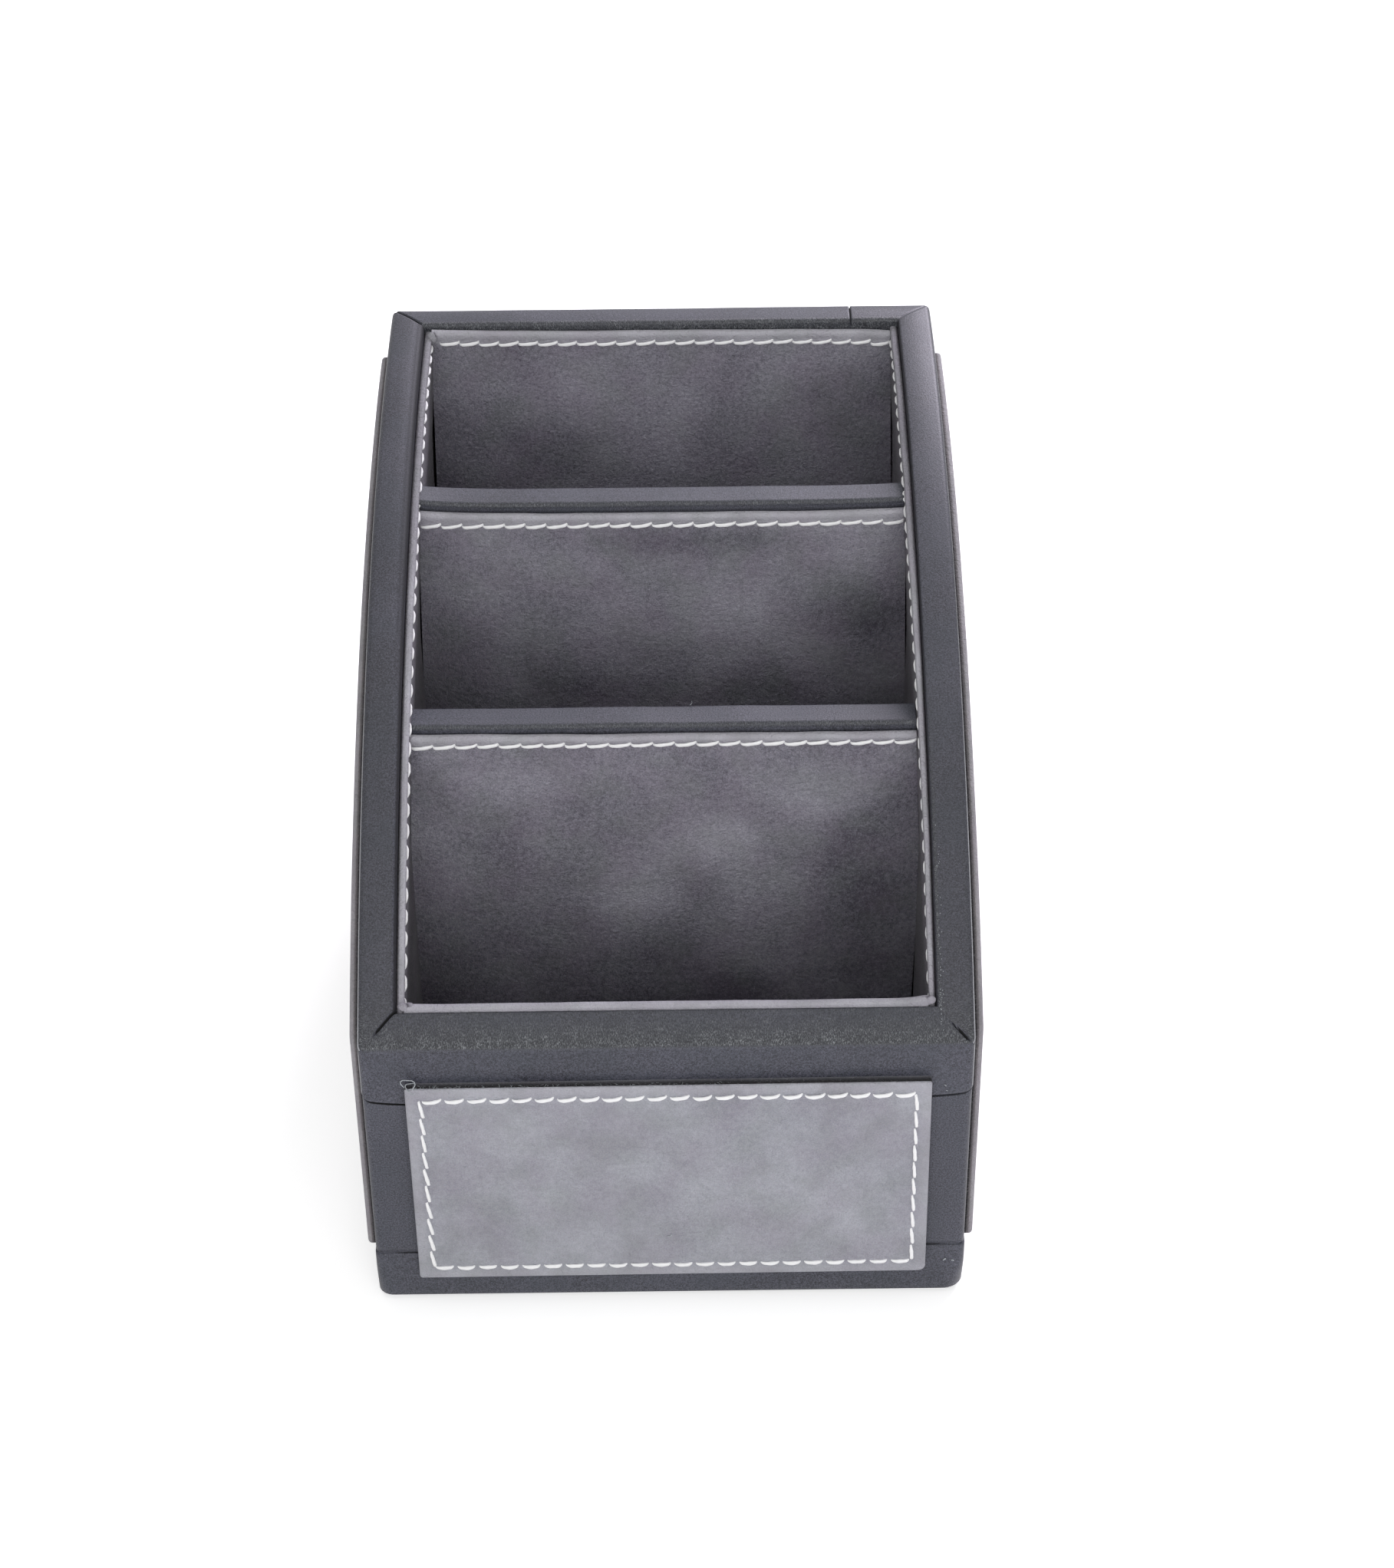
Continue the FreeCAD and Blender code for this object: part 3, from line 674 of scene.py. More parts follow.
# The same for seams that don't follow their lining's top, and where a seam starts late
SEAM_LIFTS = {
    "back_lining": (-0.05, 0.55, 25.0, -0.9, 5.0),
    "rear_divider_front_lining": (0.48, 0.4, 7.0, -0.1, 6.0),
    "front_divider_front_lining": (0.6, -0.1, 7.0, 0.1, 6.0),
}
SEAM_START = {"back_lining": 1.5}


def board_profile(low, top, seam, face_round, back_round):
    """Profile of a lining: up its face past the seam, over its folded top and down its back.

    Gives the place through the board, 0 at the face, the height and the kind.
    """
    below_seam = seam - 1.3
    rows = [(0.0, low + (below_seam - low) * index / FACE_ROWS, "face")
            for index in range(FACE_ROWS + 1)]
    rows += [(0.0, seam + offset, "seam")
             for offset in (-0.9, -0.6, -0.35, -0.15, 0.0, 0.15, 0.35, 0.6, 0.9)]
    rows += [(face_round * away, top - face_round * below, "top") for away, below in rounding(5)]
    rows += [(LINING - back_round * away, top - back_round * below, "top")
             for away, below in reversed(rounding(5))]
    return rows + [(LINING, mix(low, top, 0.6), "back"), (LINING, low, "back")]


def hole_marks(count, span):
    """Places along a seam, from its start, that show its needle holes: six for each stitch."""
    shares = (0.0, 0.055, 0.17, 0.5, 0.83, 0.945)
    return [(index + share) * span / count for index in range(count) for share in shares] + [span]


def dent(along, across, pitch):
    """How far nubuck is drawn in beside a seam: a shallow valley with a pit at each needle hole."""
    to_hole = abs((along / pitch + 0.5) % 1 - 0.5) * pitch
    return 0.09 * bell(across, 0.6) + 0.16 * bell(to_hole, 0.3) * bell(across, 0.38)


def band_at(level, through):
    """How pale a lining is at a level below its top: a worn band between its top and its seam.

    The pale band is partly worn and partly painted light from above. Towards its back, through the
    board, it is painted dark, as the shade where it dips behind the rim.
    """
    painted_light = mix(0.6, 1.0, smooth((level + 1.5) / 1.2)) * smooth((level + 2.5) / 0.8)
    return mix(painted_light, -0.9, smooth((through - 0.75) / 0.6))


def bow(lift, x):
    middle, left, left_reach, right, right_reach = lift
    return (middle + left * math.exp(-(x + LINED) / left_reach)
            + right * math.exp(-(LINED - x) / right_reach))


def rounded_end(from_end, radius):
    """How far a lining's top has dropped where its end is folded round."""
    short = max(0.0, radius - from_end)
    return radius - math.sqrt(max(0.0, radius ** 2 - short ** 2))


def hollow(side, y, z):
    """How far a side lining's face stands back from its top, towards its board."""
    top = arc_height(y) - SIDE_LINING_DROP
    deepest = 1.3 if side < 0 else 1.15
    return deepest * smooth((top - 3.0 - z) / 26) * smooth((z - 8.0) / 10)


def make_cross_lining(label, facing, material, visible_back):
    """A lining that stands across the body, and its seam. facing is -1 where it faces the front.

    visible_back is how far its pale top, partly painted light, reaches towards its back.
    """
    low, high = box_of(label)
    face_y = low.y if facing < 0 else high.y
    seam_height = high.z - SEAM_DROP
    begin = SEAM_START.get(label, 0.0)
    span = 2 * LINED - begin
    pitch = span / CROSS_STITCHES
    marks = [0.0] * (begin > 0) + [begin + mark for mark in hole_marks(CROSS_STITCHES, span)]
    profile = board_profile(low.z, high.z, seam_height, *CROSS_ROUNDS)

    def lift_at(lifts, x):
        return bow(lifts.get(label, LIFTS[label]), x) + 0.1 * wave(x, face_y, 3.0, 9)

    points = []
    edge = []
    for mark in marks:
        x = -LINED + mark
        tuck = rounded_end(LINED - abs(x), 0.9) if label == "front_lining" else 0.0
        top_lift = lift_at(LIFTS, x) - tuck
        seam_lift = lift_at(SEAM_LIFTS, x)
        for through, z, kind in profile:
            level = z - high.z
            lift = mix(seam_lift, top_lift, smooth((level + SEAM_DROP) / 1.3))
            depth = through
            if kind == "seam":
                depth += dent(mark - begin, z - seam_height, pitch)
            if kind != "back" and through < LINING / 2:
                depth -= 0.1 * bell(level + 0.9, 0.7)
            y = face_y - facing * depth
            wider = 1 + hollow(-1 if x < 0 else 1, y, z) / LINED
            points.append((x * wider, y, z + lift * smooth((level + 14) / 12)))
            edge.append(band_at(level, through - visible_back))
    faces, sharp = tube_mesh(len(marks), len(profile))
    make_piece(label + "_cover", points, faces, material, [label], {"edge": edge}, sharp)
    seam = []
    for index in range(CROSS_STITCHES):
        x = -LINED + begin + (index + 0.5) * pitch
        centre = Vector((x, face_y, seam_height + lift_at(SEAM_LIFTS, x)))
        seam.append((centre, Vector((1, 0, 0)), Vector((0, 0, 1)), Vector((0, facing, 0)), pitch,
                     "lining"))
    return seam


def lean_out(side, y):
    """How far the right lining's top leans against its board towards the front."""
    return 0.28 * smooth((20 - y) / 70) if side > 0 else 0.0


def make_side_lining(label, side, material):
    """A lining along a side board, its top following the rim's arc, and its seam."""
    low, high = box_of(label)
    start = low.y
    finish = high.y
    face_x = side * LINED
    arc_start = arc_angle(start + LINING)
    span = (arc_start - arc_angle(finish - LINING)) * ARC_RADIUS
    pitch = span / SIDE_STITCHES
    stops = [(start, -1.0), (start + 0.2, -0.8), (start + 0.5, -0.7), (start + 1.0, -0.4)]
    stops += [(BACK - ARC_RADIUS * math.sin(arc_start - mark / ARC_RADIUS), mark)
              for mark in hole_marks(SIDE_STITCHES, span)]
    stops += [(finish - 1.0, span + 0.4), (finish - 0.5, span + 0.7), (finish, span + 1.0)]
    points = []
    edge = []
    for y, along in stops:
        top = arc_height(y) - SIDE_LINING_DROP
        seam_height = top - SEAM_DROP / math.cos(arc_angle(y))
        for through, z, kind in board_profile(low.z, top, seam_height, *SIDE_ROUNDS):
            near_top = smooth((z - top + 10) / 10)
            depth = through + (dent(along, z - seam_height, pitch) if kind == "seam" else 0)
            leaned = (0.08 * wave(face_x, y, 5.0, 11) + lean_out(side, y)) * near_top
            depth += (leaned + hollow(side, y, z)) * (1 - through / LINING)
            ripple = 0.1 * wave(face_x, y, 9.0, 8) * near_top
            tuck = rounded_end(y - start, 1.3) * smooth((z - top + 3) / 2.5)
            points.append((face_x + side * depth, y, z + ripple - tuck))
            edge.append(band_at(z - top, through - 0.1) * mix(0.45, 1.0, smooth((35 - y) / 55)))
    faces, sharp = tube_mesh(len(stops), len(points) // len(stops))
    make_piece(label + "_cover", points, faces, material, [label], {"edge": edge}, sharp)
    seam = []
    for index in range(SIDE_STITCHES):
        angle = arc_start - (index + 0.5) * pitch / ARC_RADIUS
        y = BACK - ARC_RADIUS * math.sin(angle)
        z = arc_height(y) - SIDE_LINING_DROP - SEAM_DROP / math.cos(angle)
        seam.append((Vector((face_x + side * lean_out(side, y) * 1.3, y, z)),
                     Vector((0, math.cos(angle), math.sin(angle))),
                     Vector((0, -math.sin(angle), math.cos(angle))), Vector((-side, 0, 0)), pitch,
                     "side"))
    return seam


def make_tuck(name, centre, radii, turn, material):
    """A lining's folded corner: a soft lump across two linings' ends, with a crease over it."""
    rings = 13
    sides = 24
    points = []
    edge = []
    for ring in range(rings):
        polar = math.pi * mix(0.04, 0.96, ring / (rings - 1))
        for side in range(sides):
            angle = 2 * math.pi * side / sides
            direction = Vector((math.sin(polar) * math.cos(angle), math.sin(polar) * math.sin(angle),
                                math.cos(polar)))
            across = direction.x * math.cos(turn) + direction.y * math.sin(turn)
            crease = bell(across - 0.1, 0.16) * smooth(direction.z * 2 + 0.6)
            reach = 1 - 0.3 * crease + 0.08 * wave(direction.x, direction.y, direction.z, 0.6)
            points.append(tuple(centre[axis] + radii[axis] * direction[axis] * reach
                                for axis in range(3)))
            # Painted shade in the crease.
            edge.append(mix(0.5, -0.8, crease))
    make_piece(name, points, tube_mesh(rings, sides)[0], material, (), {"edge": edge})


# Thread

THREAD_HALF_HEIGHT = 0.26
END_DEPTH = 0.16          # how far below the nubuck a stitch's ends lie
STITCHES = {
    # sag of the middle, rise of the end over the start, half width at the middle,
    # shares of it at the start and at the end, gap to the next stitch, height, how late it dives
    "lining": (0.2, 0.5, 0.33, 0.6, 0.8, -0.2, 0.46, 8),
    "side": (0.0, 0.1, 0.3, 0.4, 0.4, 0.5, 0.28, 3),
    "top": (0.34, 0.45, 0.36, 0.42, 0.7, 0.3, 0.32, 8),
    "bottom": (0.26, 0.08, 0.38, 0.3, 0.4, 0.4, 0.32, 8),
    "flat": (0.28, 0.2, 0.37, 0.4, 0.6, 0.35, 0.1, 8),
    "slanted": (-0.04, 0.6, 0.33, 0.55, 0.7, 0.0, 0.32, 8),
    "upright": (-0.04, 0.3, 0.32, 0.5, 0.6, 0.15, 0.32, 8),
}


def blunt(value, power):
    """A cosine or sine whose curve is squarer, where power is below 1."""
    return math.copysign(abs(value) ** power, value)


def make_stitches(name, stitches, node, seed):
    """One piece that holds a board's stitches.

    Each is a centre, the directions along, up and outwards, the pitch, and its kind in STITCHES.
    """
    chance = random.Random(seed)
    sides = 10
    rings = 15
    points = []
    faces = []
    for centre, along, up, outwards, pitch, kind in stitches:
        sag, tilt, width, start, end, gap, height, late = STITCHES[kind]
        half = (pitch - gap) / 2 + chance.uniform(-0.05, 0.05)
        sag = sag * chance.uniform(0.7, 1.3)
        tilt = tilt * chance.uniform(0.75, 1.25)
        width = width * chance.uniform(0.93, 1.07)
        turn = chance.uniform(0, math.pi)
        faces += tube_mesh(rings, sides, len(points))[0]
        for ring in range(rings):
            place = blunt(-1 + 2 * ring / (rings - 1), 0.8)
            reach = abs(place)
            middle = (centre + along * (place * half)
                      + up * (-sag * (1 - place * place) + tilt * place / 2)
                      + outwards * (height - THREAD_HALF_HEIGHT - (height + END_DEPTH) * reach ** late))
            taper = mix(1.0, start if place < 0 else end, reach ** (2.2 if place < 0 else 4))
            for side in range(sides):
                angle = 2 * math.pi * side / sides
                lobes = 1 + 0.07 * math.cos(2 * (angle - turn) - place * 7)
                across = width * blunt(math.cos(angle), 0.85)
                out = THREAD_HALF_HEIGHT * blunt(math.sin(angle), 0.7)
                points.append(middle + (up * across + outwards * out) * taper * lobes)
    make_piece(name, points, faces, THREAD, [node])


# Loose fibres

def make_fibres(name, strands, material):
    """One piece that holds fibres, each a path, the way it faces, and its half width."""
    points = []
    faces = []
    for path, outwards, width in strands:
        faces += tube_mesh(len(path), 4, len(points))[0]
        for number, place in enumerate(path):
            before = path[max(number - 1, 0)]
            after = path[min(number + 1, len(path) - 1)]
            across = (after - before).cross(outwards).normalized()
            for step in range(4):
                angle = math.pi / 2 * step
                points.append(place + (across * math.cos(angle) + outwards * math.sin(angle)) * width)
    make_piece(name, points, faces, material)


def curl(carry, across, up, radius, begin, end, out_begin, out_end):
    """A loop of fibre that starts on a panel and rises or falls to another height above its wall."""
    path = []
    for step in range(15):
        share = step / 14
        angle = mix(begin, end, share)
        reach = radius * (1 + 0.15 * math.sin(3 * angle))
        path.append(carry(across + reach * math.cos(angle), up + reach * math.sin(angle),
                          mix(out_begin, out_end, share)))
    return path


def bent(start, finish, bend):
    """A slightly bent fibre between two places."""
    return [start.lerp(finish, share) + bend * (4 * share * (1 - share))
            for share in (0.0, 0.25, 0.5, 0.75, 1.0)]


def make_lint(carry, width, height):
    """The curl at the front panel's corner, the fuzz on its top edge, a few specks of lint, and pale
    specks on the right rim and the foot that stand in for glints.

    The right rim's specks lie in a row towards the front. carry places what lies on the panel.
    """
    chance = random.Random(7)
    fuzz_count = 110
    speck_count = 40
    front = Vector((0, -1, 0))
    above = Vector((0, 0, 1))
    strands = [(curl(carry, 0.7, height + 0.95, 1.2, -0.9, 4.1, 1.85, 1.2), front, 0.1),
               (curl(carry, 1.1, height + 0.5, 0.8, 0.3, 4.6, 1.3, 1.88), front, 0.08),
               (curl(carry, 1.5, height - 0.2, 0.65, 0.4, 5.8, 1.86, 1.88), front, 0.06)]
    for _ in range(fuzz_count):
        place = width * (0.02 + 0.6 * chance.random() ** 1.5)
        lean = chance.uniform(-0.6, 0.6)
        start = carry(place, height - 0.05, chance.uniform(0.7, 1.7))
        finish = carry(place + lean, height + chance.uniform(0.0, 0.5), chance.uniform(1.0, 1.85))
        strands.append((bent(start, finish, Vector((0.1, 0, 0.06))), front, 0.02))
    # Single specks, each from a place to another, how it bends, and its half width
    specks = (((-0.4, -75.8, 16.6), (0.3, -75.9, 17.2), (0.25, 0, -0.15), 0.09),
              ((4.7, -19.0, 91.3), (5.0, -19.1, 92.2), (0.2, 0, 0), 0.1),
              ((47.1, -57.0, 70.0), (47.4, -57.4, 69.8), (0.1, 0, 0), 0.12),
              ((47.4, -74.0, 49.7), (47.7, -74.0, 49.4), (0.1, 0, 0), 0.08),
              ((47.8, -74.0, 48.4), (48.0, -74.0, 48.3), (0.0, 0, 0.1), 0.07),
              # The next two, on the foot, are pale specks that stand in for glints.
              ((48.7, -74.0, 8.2), (49.2, -74.0, 8.6), (0, 0, 0.1), 0.14),
              ((50.2, -73.95, 8.1), (50.6, -73.9, 8.0), (0, 0, 0.1), 0.14),
              ((-19.5, -26.6, 76.6), (-19.3, -26.6, 76.9), (0, 0, 0), 0.08),
              ((-18.3, -26.6, 67.2), (-18.1, -26.6, 67.4), (0, 0, 0), 0.08))
    for start, finish, bend, half in specks:
        facing = above if start[2] > 60 else front
        strands.append((bent(Vector(start), Vector(finish), Vector(bend)), facing, half))
    # Pale specks along the right rim's inner edge, standing in for glints.
    for _ in range(speck_count):
        y = -72.5 + 28 * chance.random() ** 1.4
        start = Vector((46.65 + 0.6 * chance.random() ** 2, y, arc_height(y) - 0.04))
        finish = start + Vector((chance.uniform(-0.12, 0.12), 0.12, 0.1))
        strands.append((bent(start, finish, Vector((0, 0, 0.02))), above, 0.055))
    lint = felt("pale_lint", shade(150, 158, 162), shade(214, 218, 222), 0.3)
    make_fibres("loose_fibres", strands, lint)


# Applied panels

def panel_lines(length, count):
    """Places across a panel: close at its edges and seams, and six to a stitch between."""
    lines = {0.0, length}
    for near_edge in (0.02, 0.06, 0.13, 0.22, 0.32, 0.5, 0.75, 1.05, 1.4, 1.8):
        lines |= {near_edge, length - near_edge}
    for offset in (-0.38, -0.15, 0.0, 0.15, 0.38, 0.75):
        lines |= {PANEL_INSET + offset, length - PANEL_INSET - offset}
    for mark in hole_marks(count, length - 2 * PANEL_INSET):
        if PANEL_INSET + 0.8 < PANEL_INSET + mark < length - PANEL_INSET - 0.8:
            lines.add(PANEL_INSET + mark)
    kept = []
    for line in sorted(lines):
        if not kept or line - kept[-1] > 0.015:
            kept.append(line)
    return kept


def panel_up(line, tallest, height, lean):
    """Where a line of a panel's grid lies at a column of some height.

    Lines near its foot and its sloping top keep their distance from them. lean is the cosine of
    the top's slope.
    """
    near = 4.0
    from_top = tallest - line
    if line / tallest < 0.5:
        return line if line < near else mix(near, height / 2, (line - near) / (tallest / 2 - near))
    if from_top < near:
        return height - from_top / lean
    return height - mix(near / lean, height / 2, (from_top - near) / (tallest / 2 - near))


def make_panel(node, material, width, height_at, carry, counts, corners, cut_and_shade, thickness, edge_round):
    """A nubuck covered board applied to a wall.

    height_at gives its height at a place across, and carry takes across, up and out to the wall's
    frame. counts are its stitches across and up, corners the radii low and high at the start, then
    low and high at the end, and cut_and_shade the edge's finish from its face to the wall, a dark
    cut edge that is partly painted shade. edge_round rounds its face's edge. The face is drawn in
    along its seam.
    """
    name = node + "_cover"
    tallest = height_at(width)
    across_lines = panel_lines(width, counts[0])
    up_lines = panel_lines(tallest, counts[1])
    points = []
    edge = []
    for across in across_lines:
        height = height_at(across)
        slope = height_at(min(across + 0.5, width)) - height_at(max(across - 0.5, 0.0))
        lean = 1 / math.sqrt(1 + slope * slope)
        at_start = across < width / 2
        side = min(across, width - across)
        for line in up_lines:
            up = panel_up(line, tallest, height, lean)
            low_half = up < height / 2
            level = min(up, (height - up) * lean)
            place, rise = across, up
            to_edge = min(side, level)
            corner = corners[(0 if at_start else 2) + (0 if low_half else 1)]
            if side < corner and level < corner:
                # The grid's square corner is drawn in to a round one
                out_across = (corner - side) / corner
                out_up = (corner - level) / corner
                drawn_across = out_across * math.sqrt(1 - out_up ** 2 / 2)
                drawn_up = out_up * math.sqrt(1 - out_across ** 2 / 2)
                place = across + (1 if at_start else -1) * (out_across - drawn_across) * corner
                shift = (out_up - drawn_up) * corner
                rise = up + shift if low_half else height_at(place) - (height - up) - shift / lean
                to_edge = corner - corner * math.sqrt(drawn_across ** 2 + drawn_up ** 2)
            out = thickness
            if to_edge < edge_round:
                short = edge_round - max(to_edge, 0.0)
                out -= edge_round - math.sqrt(max(edge_round ** 2 - short ** 2, 0.0))
            from_seam = abs(to_edge - PANEL_INSET)
            if from_seam < 1.5:
                run, length = (up, height) if side < level else (across, width)
                length -= 2 * PANEL_INSET
                out -= dent(run - PANEL_INSET, from_seam, length / max(1, round(length / PITCH)))
            out += 0.07 * wave(place, rise, len(name), 15) * smooth(to_edge / 3)
            points.append(carry(place, rise, out))
            edge.append(0.45 * (1 - smooth((to_edge - 1.2) / 1.2)))
    rows = len(across_lines)
    columns = len(up_lines)
    faces = grid_faces(rows, columns)
    border = [(row, 0) for row in range(rows)]
    border += [(rows - 1, column) for column in range(1, columns)]
    border += [(row, columns - 1) for row in range(rows - 2, -1, -1)]
    border += [(0, column) for column in range(columns - 2, 0, -1)]
    face_loop = [row * columns + column for row, column in border]
    loop = face_loop
    for share, finish in zip((0.06, 0.5, 0.8, 1.0), cut_and_shade):
        sunk = list(range(len(points), len(points) + len(loop)))
        for index in face_loop:
            points.append(points[index].lerp(carry.flat(points[index]), share))
            edge.append(finish)
        faces += [(first, second, under_second, under_first) for (first, second),
                  (under_first, under_second) in zip(loop_edges(loop), loop_edges(sunk))]
        loop = sunk
    faces.append(tuple(loop))
    make_piece(name, points, faces, material, [node], {"edge": edge}, loop_edges(loop))


class Carry:
    """Carries a panel's own places to the wall's frame."""

    def __init__(self, origin, across, out, upward=(0, 0, 1)):
        self.origin = Vector(origin)
        self.across = Vector(across)
        self.out = Vector(out)
        self.upward = Vector(upward)

    def __call__(self, across, up, out):
        return self.origin + self.across * across + self.upward * up + self.out * out

    def flat(self, point):
        """The same place on the wall behind the panel."""
        return point - self.out * (point - self.origin).dot(self.out)


def make_front_panel(material):
    """The front panel, a little turned as the real one is, with its stitches and the loose lint."""
    low, high = box_of("front_panel")
    across_count = 22
    up_count = 10
    width = high.x - low.x
    height = high.z - low.z + 0.4
    turn = math.radians(0.22)
    right = Vector((math.cos(turn), 0, math.sin(turn)))
    upward = Vector((-math.sin(turn), 0, math.cos(turn)))
    outwards = Vector((0, -1, 0))
    middle = Vector(((low.x + high.x) / 2 + 0.3, FRONT, (low.z + high.z) / 2 - 0.4))
    carry = Carry(middle - right * (width / 2) - upward * (height / 2), right, outwards, upward)
    # Its edge is painted dark, darkest next to its face: a dark cut edge that is partly painted shade
    # above the panel.
    make_panel("front_panel", material, width, lambda across: height, carry,
               (across_count, up_count), (0.55, 0.35, 1.3, 0.45), (-1.0, -0.92, -0.72, -0.5),
               FRONT_PANEL_THICKNESS, 0.3)
    stitches = []

    def add_stitch(across, up, along, beside, pitch, kind):
        stitches.append((carry(across, up, FRONT_PANEL_THICKNESS), along, beside, outwards, pitch,
                         kind))

    for index in range(across_count):
        pitch = (width - 2 * PANEL_INSET) / across_count
        across = PANEL_INSET + (index + 0.5) * pitch
        add_stitch(across, height - PANEL_INSET + 0.12, right, upward, pitch, "top")
        add_stitch(across, PANEL_INSET + 0.12, right, upward, pitch, "bottom")
    for index in range(up_count):
        pitch = (height - 2 * PANEL_INSET) / up_count
        up = height - PANEL_INSET - (index + 0.5) * pitch
        add_stitch(PANEL_INSET, up, -upward, right, pitch, "slanted")
        add_stitch(width - PANEL_INSET, up, -upward, right, pitch, "upright")
    make_stitches("front_panel_thread", stitches, "front_panel_stitching", 11)
    make_lint(carry, width, height)


def make_side_panel(side, material):
    """An outer side panel, its top an arc within the rim's, with its stitches."""
    node = ("left" if side < 0 else "right") + "_outer_panel"
    low, high = box_of(node)
    low.z -= 1.3 if side < 0 else 0.7
    width = high.y - low.y
    radius = ARC_RADIUS - SIDE_PANEL_DROP

    def height_at(across):
        y = low.y + across
        raised = 0.5 * smooth((y - 35) / 34) if side < 0 else 0
        return arc_height(y, radius) + raised - low.z

    carry = Carry((side * HALF_WIDTH, low.y, low.z), (0, 1, 0), (side, 0, 0))
    counts = [round((length - 2 * PANEL_INSET) / PITCH) for length in (width, height_at(width))]
    # Its edge is painted dark from its face to the wall: painted shade beside the body.
    make_panel(node, material, width, height_at, carry, counts, (1.6, 1.2, 1.6, 0.8),
               (-0.2, -1.0, -1.0, -1.0), SIDE_PANEL_THICKNESS, 0.7)
    outwards = Vector((side, 0, 0))
    stitches = []

    def run_stitches(start, finish, flip):
        length = (finish - start).length
        count = max(1, round(length / PITCH))
        along = (finish - start).normalized()
        upward = outwards.cross(along) * flip
        for index in range(count):
            centre = start + along * ((index + 0.5) * length / count)
            stitches.append((centre, along, upward, outwards, length / count, "flat"))

    seam_radius = radius - PANEL_INSET
    low_front = carry(PANEL_INSET, PANEL_INSET, SIDE_PANEL_THICKNESS)
    low_back = carry(width - PANEL_INSET, PANEL_INSET, SIDE_PANEL_THICKNESS)
    high_back, high_front = (Vector((low_back.x, place.y, arc_height(place.y, seam_radius)))
                             for place in (low_back, low_front))
    run_stitches(low_front, low_back, -side)
    run_stitches(low_back, high_back, side)
    run_stitches(high_front, low_front, side)
    begin = arc_angle(low_front.y, seam_radius)
    turned = begin - arc_angle(low_back.y, seam_radius)
    length = turned * seam_radius
    count = round(length / PITCH)
    centre = Vector((low_back.x, BACK, ARC_CENTRE))
    for index in range(count):
        angle = begin - (index + 0.5) * turned / count
        upward = Vector((0, -math.sin(angle), math.cos(angle)))
        stitches.append((centre + upward * seam_radius, Vector((0, math.cos(angle), math.sin(angle))),
                         upward, outwards, length / count, "flat"))
    make_stitches(node + "_thread", stitches, node + "_stitching", 20 + side)


# Dividers

def make_divider(label):
    """A leatherette wrapped divider with a softly rounded top."""
    low, high = box_of(label)
    radius = 0.8
    count = 60
    # The third value is grain: below 0 it paints shade on the face just above the lining, and high
    # values along the front's rounding paint glints.
    profile = [(low.y, low.z, 0.3), (low.y, high.z - 6, 0.5), (low.y, high.z - 3, -0.4),
               (low.y, high.z - 1.6, -0.4)]
    for step, (away, below) in enumerate(rounding()):
        profile.append((low.y + radius * away, high.z - radius * below,
                        mix(0.5, 0.15, step / 6) + 0.8 * (1 - away) * (1 - below)))
    for share in (0.2, 0.4, 0.6, 0.8):
        profile.append((mix(low.y + radius, high.y - radius, share),
                        high.z + 0.12 * 4 * share * (1 - share) - 0.12, 0.12))
    profile += [(high.y - radius * away, high.z - radius * below, 0.2)
                for away, below in reversed(rounding())]
    profile += [(high.y, high.z - 3, 0.1), (high.y, low.z, 0.1)]
    points = []
    for index in range(count + 1):
        x = mix(low.x, high.x, index / count)
        for y, z, _ in profile:
            lift = 0.06 * wave(x, y, 2.0, 12) - 0.12 + bow(LIFTS[label], x)
            points.append((x, y, z + lift * smooth((z - high.z + 8) / 6)))
    grain = [grain_and_shade for _, _, grain_and_shade in profile] * (count + 1)
    faces, sharp = tube_mesh(count + 1, len(profile))
    make_piece(label + "_wrap", points, faces, LEATHER, [label], {"grain": grain},
               sharp)


# The object

for wall in WALLS:
    make_wall(wall)
for divider in ("rear_divider", "front_divider"):
    make_divider(divider)

# The linings are the same nubuck as the front panel, painted darker as the shade inside the
# compartments.
DARK = shade(82, 80, 90)
PALE = shade(175, 173, 184)
# The way each lining faces, how far its pale top reaches to its back, where its clouds come from,
# and its patches: place across and up, half width and height, and how much paler. The patches
# are partly clouds and partly painted light and shade; the wide dark ones low down are painted
# shade.
inner = {
    "back_lining": (-1, 0.25, (0.02, 0.01, 0.03),
                    ((-14, 106, 26, 12, 0.22), (2, 98, 16, 14, 0.15), (36, 98, 14, 18, -0.4),
                     (-36, 90, 14, 10, 0.06))),
    "rear_divider_front_lining": (-1, 0.25, (0.12, 0.05, 0.07),
                                  ((-26, 99, 14, 10, 0.08), (12, 86, 18, 14, 0.27),
                                   (38, 84, 14, 20, -0.5), (-36, 80, 12, 14, -0.35),
                                   (0, 68, 60, 9, -0.25), (10, 102, 44, 5, -0.28))),
    "front_divider_front_lining": (-1, 0.25, (0.05, 0.21, 0.01),
                                   ((24, 78, 16, 10, 0.3), (8, 66, 14, 12, 0.33),
                                    (-6, 54, 14, 14, 0.34), (-24, 80, 16, 8, 0.12),
                                    (36, 55, 12, 26, -0.24), (-34, 50, 12, 24, -0.04),
                                    (0, 26, 70, 20, -0.32))),
    "rear_divider_back_lining": (1, 0.25, (0.3, 0.02, 0.14), ()),
    "front_divider_back_lining": (1, 0.25, (0.33, 0.12, 0.04), ()),
    "front_lining": (1, 0.65, (0.4, 0.3, 0.1), ()),
}
for number, (label, (facing, visible_back, offset, patches)) in enumerate(inner.items()):
    cover = nubuck("nubuck_" + label, DARK, PALE, offset, patches)
    seam = make_cross_lining(label, facing, cover, visible_back)
    make_stitches(label + "_thread", seam, label + "_stitching", 30 + number)
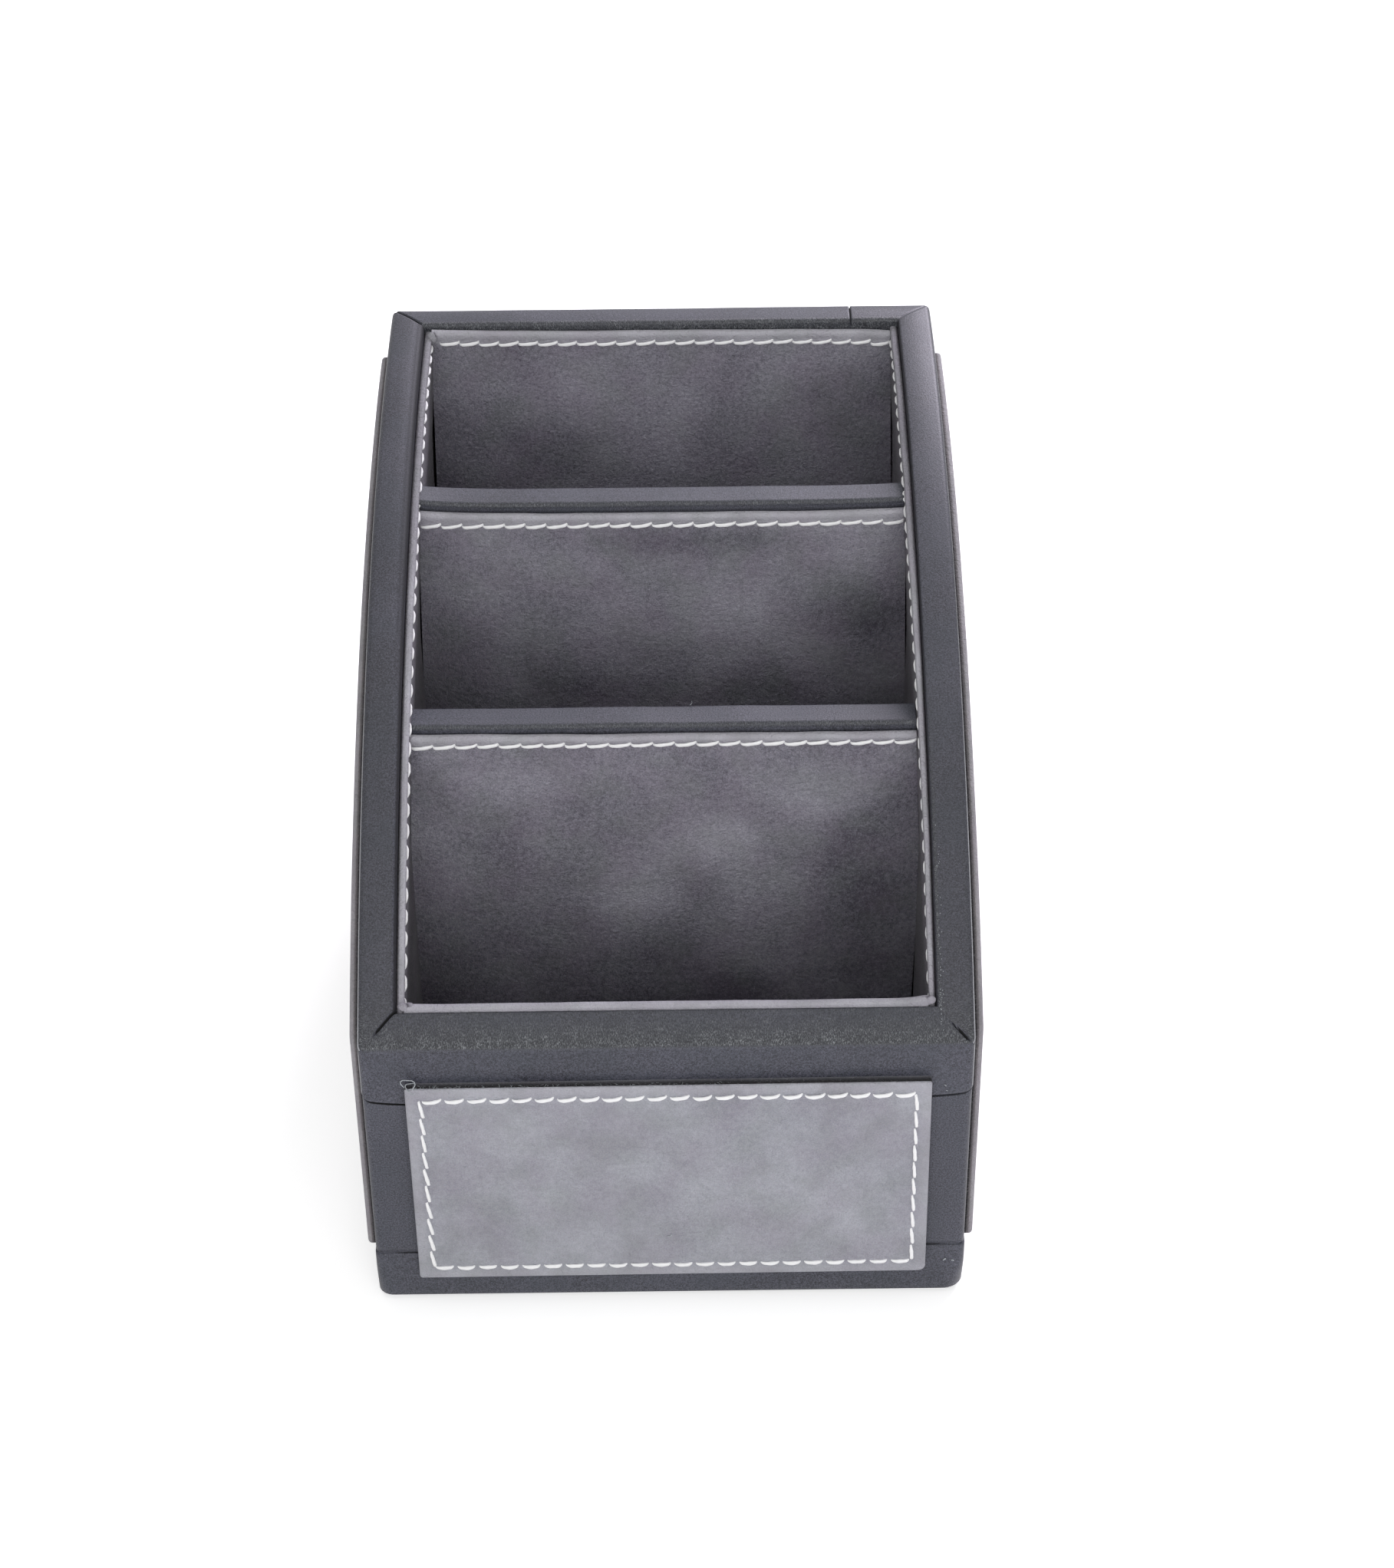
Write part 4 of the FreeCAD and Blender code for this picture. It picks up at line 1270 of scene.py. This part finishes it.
# The side linings are painted darker still, as the shade deep down their faces.
for label, side, offset in (("left_lining", -1, (0.5, 0.1, 0.2)), ("right_lining", 1, (0.6, 0.4, 0.2))):
    cover = nubuck("nubuck_" + label, shade(60, 58, 65), shade(136, 132, 140), offset, (), "y")
    seam = make_side_lining(label, side, cover)
    make_stitches(label + "_thread", seam, label + "_stitching", 40 + side)
tucked = nubuck("nubuck_tucks", shade(110, 108, 116), shade(180, 178, 186), (0.2, 0.3, 0.8))
make_tuck("front_left_tuck", (-44.1, -68.1, 63.5), (1.5, 0.9, 0.8), 0.25, tucked)
make_tuck("front_right_tuck", (44.3, -68.1, 63.7), (1.7, 0.8, 0.9), -0.5, tucked)
make_tuck("back_left_tuck", (-44.3, 67.9, 118.7), (1.0, 0.7, 1.2), 0.9, tucked)
make_front_panel(nubuck("nubuck_front_panel", shade(147, 148, 157), shade(192, 193, 201),
                        (0.7, 0.2, 0.5)))
for label, side, offset in (("left", -1, (0.8, 0.3, 0.5)), ("right", 1, (0.9, 0.3, 0.6))):
    make_side_panel(side, nubuck("nubuck_%s_panel" % label, shade(143, 139, 142),
                                 shade(178, 172, 173), offset, (), "y"))

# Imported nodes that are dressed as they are
dressed = {
    "base_board": felt("base_card", shade(44, 42, 42), shade(62, 60, 58), 1.2),
    "base_felt": felt("black_felt", shade(28, 28, 30), shade(48, 48, 52)),
}
for number, label in enumerate(("front_floor", "middle_floor", "rear_floor")):
    dressed[label] = nubuck("nubuck_" + label, DARK, PALE, (0.2 * number, 0.9, 0.1))
for label, material in dressed.items():
    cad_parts[label].data.materials.clear()
    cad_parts[label].data.materials.append(material)


# Floor, light and camera

def make_floor():
    """A pale floor that the camera and reflections see white, with the object's shadow on it."""
    size = 4.0
    mesh = bpy.data.meshes.new("floor")
    corners = [(across * size, along * size, 0)
               for across, along in ((-1, -1), (1, -1), (1, 1), (-1, 1))]
    mesh.from_pydata(corners, [], [(0, 1, 2, 3)])
    surface = Nodes(bpy.data.materials.new("pale_floor"), "ShaderNodeOutputMaterial")
    colour = surface.add("ShaderNodeBsdfDiffuse", {"Color": (0.86, 0.86, 0.86, 1)})
    strength = surface.times(surface.seen_directly(), 0.55)
    glow = surface.add("ShaderNodeEmission", {"Strength": strength})
    surface.show(surface.add("ShaderNodeAddShader", {0: colour.outputs[0], 1: glow.outputs[0]}))
    mesh.materials.append(surface.owner)
    add_object("floor", mesh)


def make_world(strength):
    """White to the camera and in reflections, and a gentler even light on the object."""
    sky = Nodes(bpy.data.worlds.new("studio"), "ShaderNodeOutputWorld")
    level = sky.add("ShaderNodeMapRange", {"Value": sky.seen_directly(), "To Min": strength,
                                           "To Max": 1.0})
    sky.show(sky.add("ShaderNodeBackground", {"Strength": level.outputs[0]}))
    bpy.context.scene.world = sky.owner


def make_lamp(name, place, size, power, colour=(1, 1, 1)):
    """A round soft lamp, in metres and watts, turned to the object."""
    light = bpy.data.lights.new(name, "AREA")
    light.shape = "DISK"
    light.size = size
    light.energy = power
    light.color = colour
    lamp = add_object(name, light)
    lamp.location = place
    lamp.rotation_mode = "QUATERNION"
    target = Vector((0, 0, 0.05))
    lamp.rotation_quaternion = (target - Vector(place)).to_track_quat("-Z", "Y")


def make_camera():
    """The photograph's viewpoint, from above the front, turned a little about its own axis."""
    pitch = math.radians(35.943)
    yaw = math.radians(0.168)
    roll = math.radians(-0.590)
    distance = 0.5915
    focal_length = 4230.6        # in pixels of the photograph
    photo_height = 2044
    sensor = 36.0
    aim = Vector((5.82, -13.925, 70.31)) * MM
    forward = Vector((math.sin(yaw) * math.cos(pitch), math.cos(yaw) * math.cos(pitch),
                      -math.sin(pitch)))
    right = Vector((math.cos(yaw), -math.sin(yaw), 0))
    up = right.cross(forward)
    across = right * math.cos(roll) + up * math.sin(roll)
    upward = up * math.cos(roll) - right * math.sin(roll)
    data = bpy.data.cameras.new("camera")
    data.sensor_width = sensor
    data.lens = focal_length * sensor / photo_height
    camera = add_object("camera", data)
    camera.rotation_mode = "QUATERNION"
    camera.rotation_quaternion = Matrix((across, upward, -forward)).transposed().to_quaternion()
    camera.location = aim - forward * distance
    bpy.context.scene.camera = camera


make_floor()
make_world(0.36)
make_lamp("softbox_front", (0.1, -1.6, 0.66), 2.0, 18.0)
make_lamp("softbox_above", (0.0, -0.1, 1.7), 2.0, 6.0)
make_lamp("softbox_back", (0.8, 1.7, 1.3), 1.2, 44.0, (0.92, 0.87, 1.0))
make_camera()
bpy.context.scene.view_settings.view_transform = "Standard"
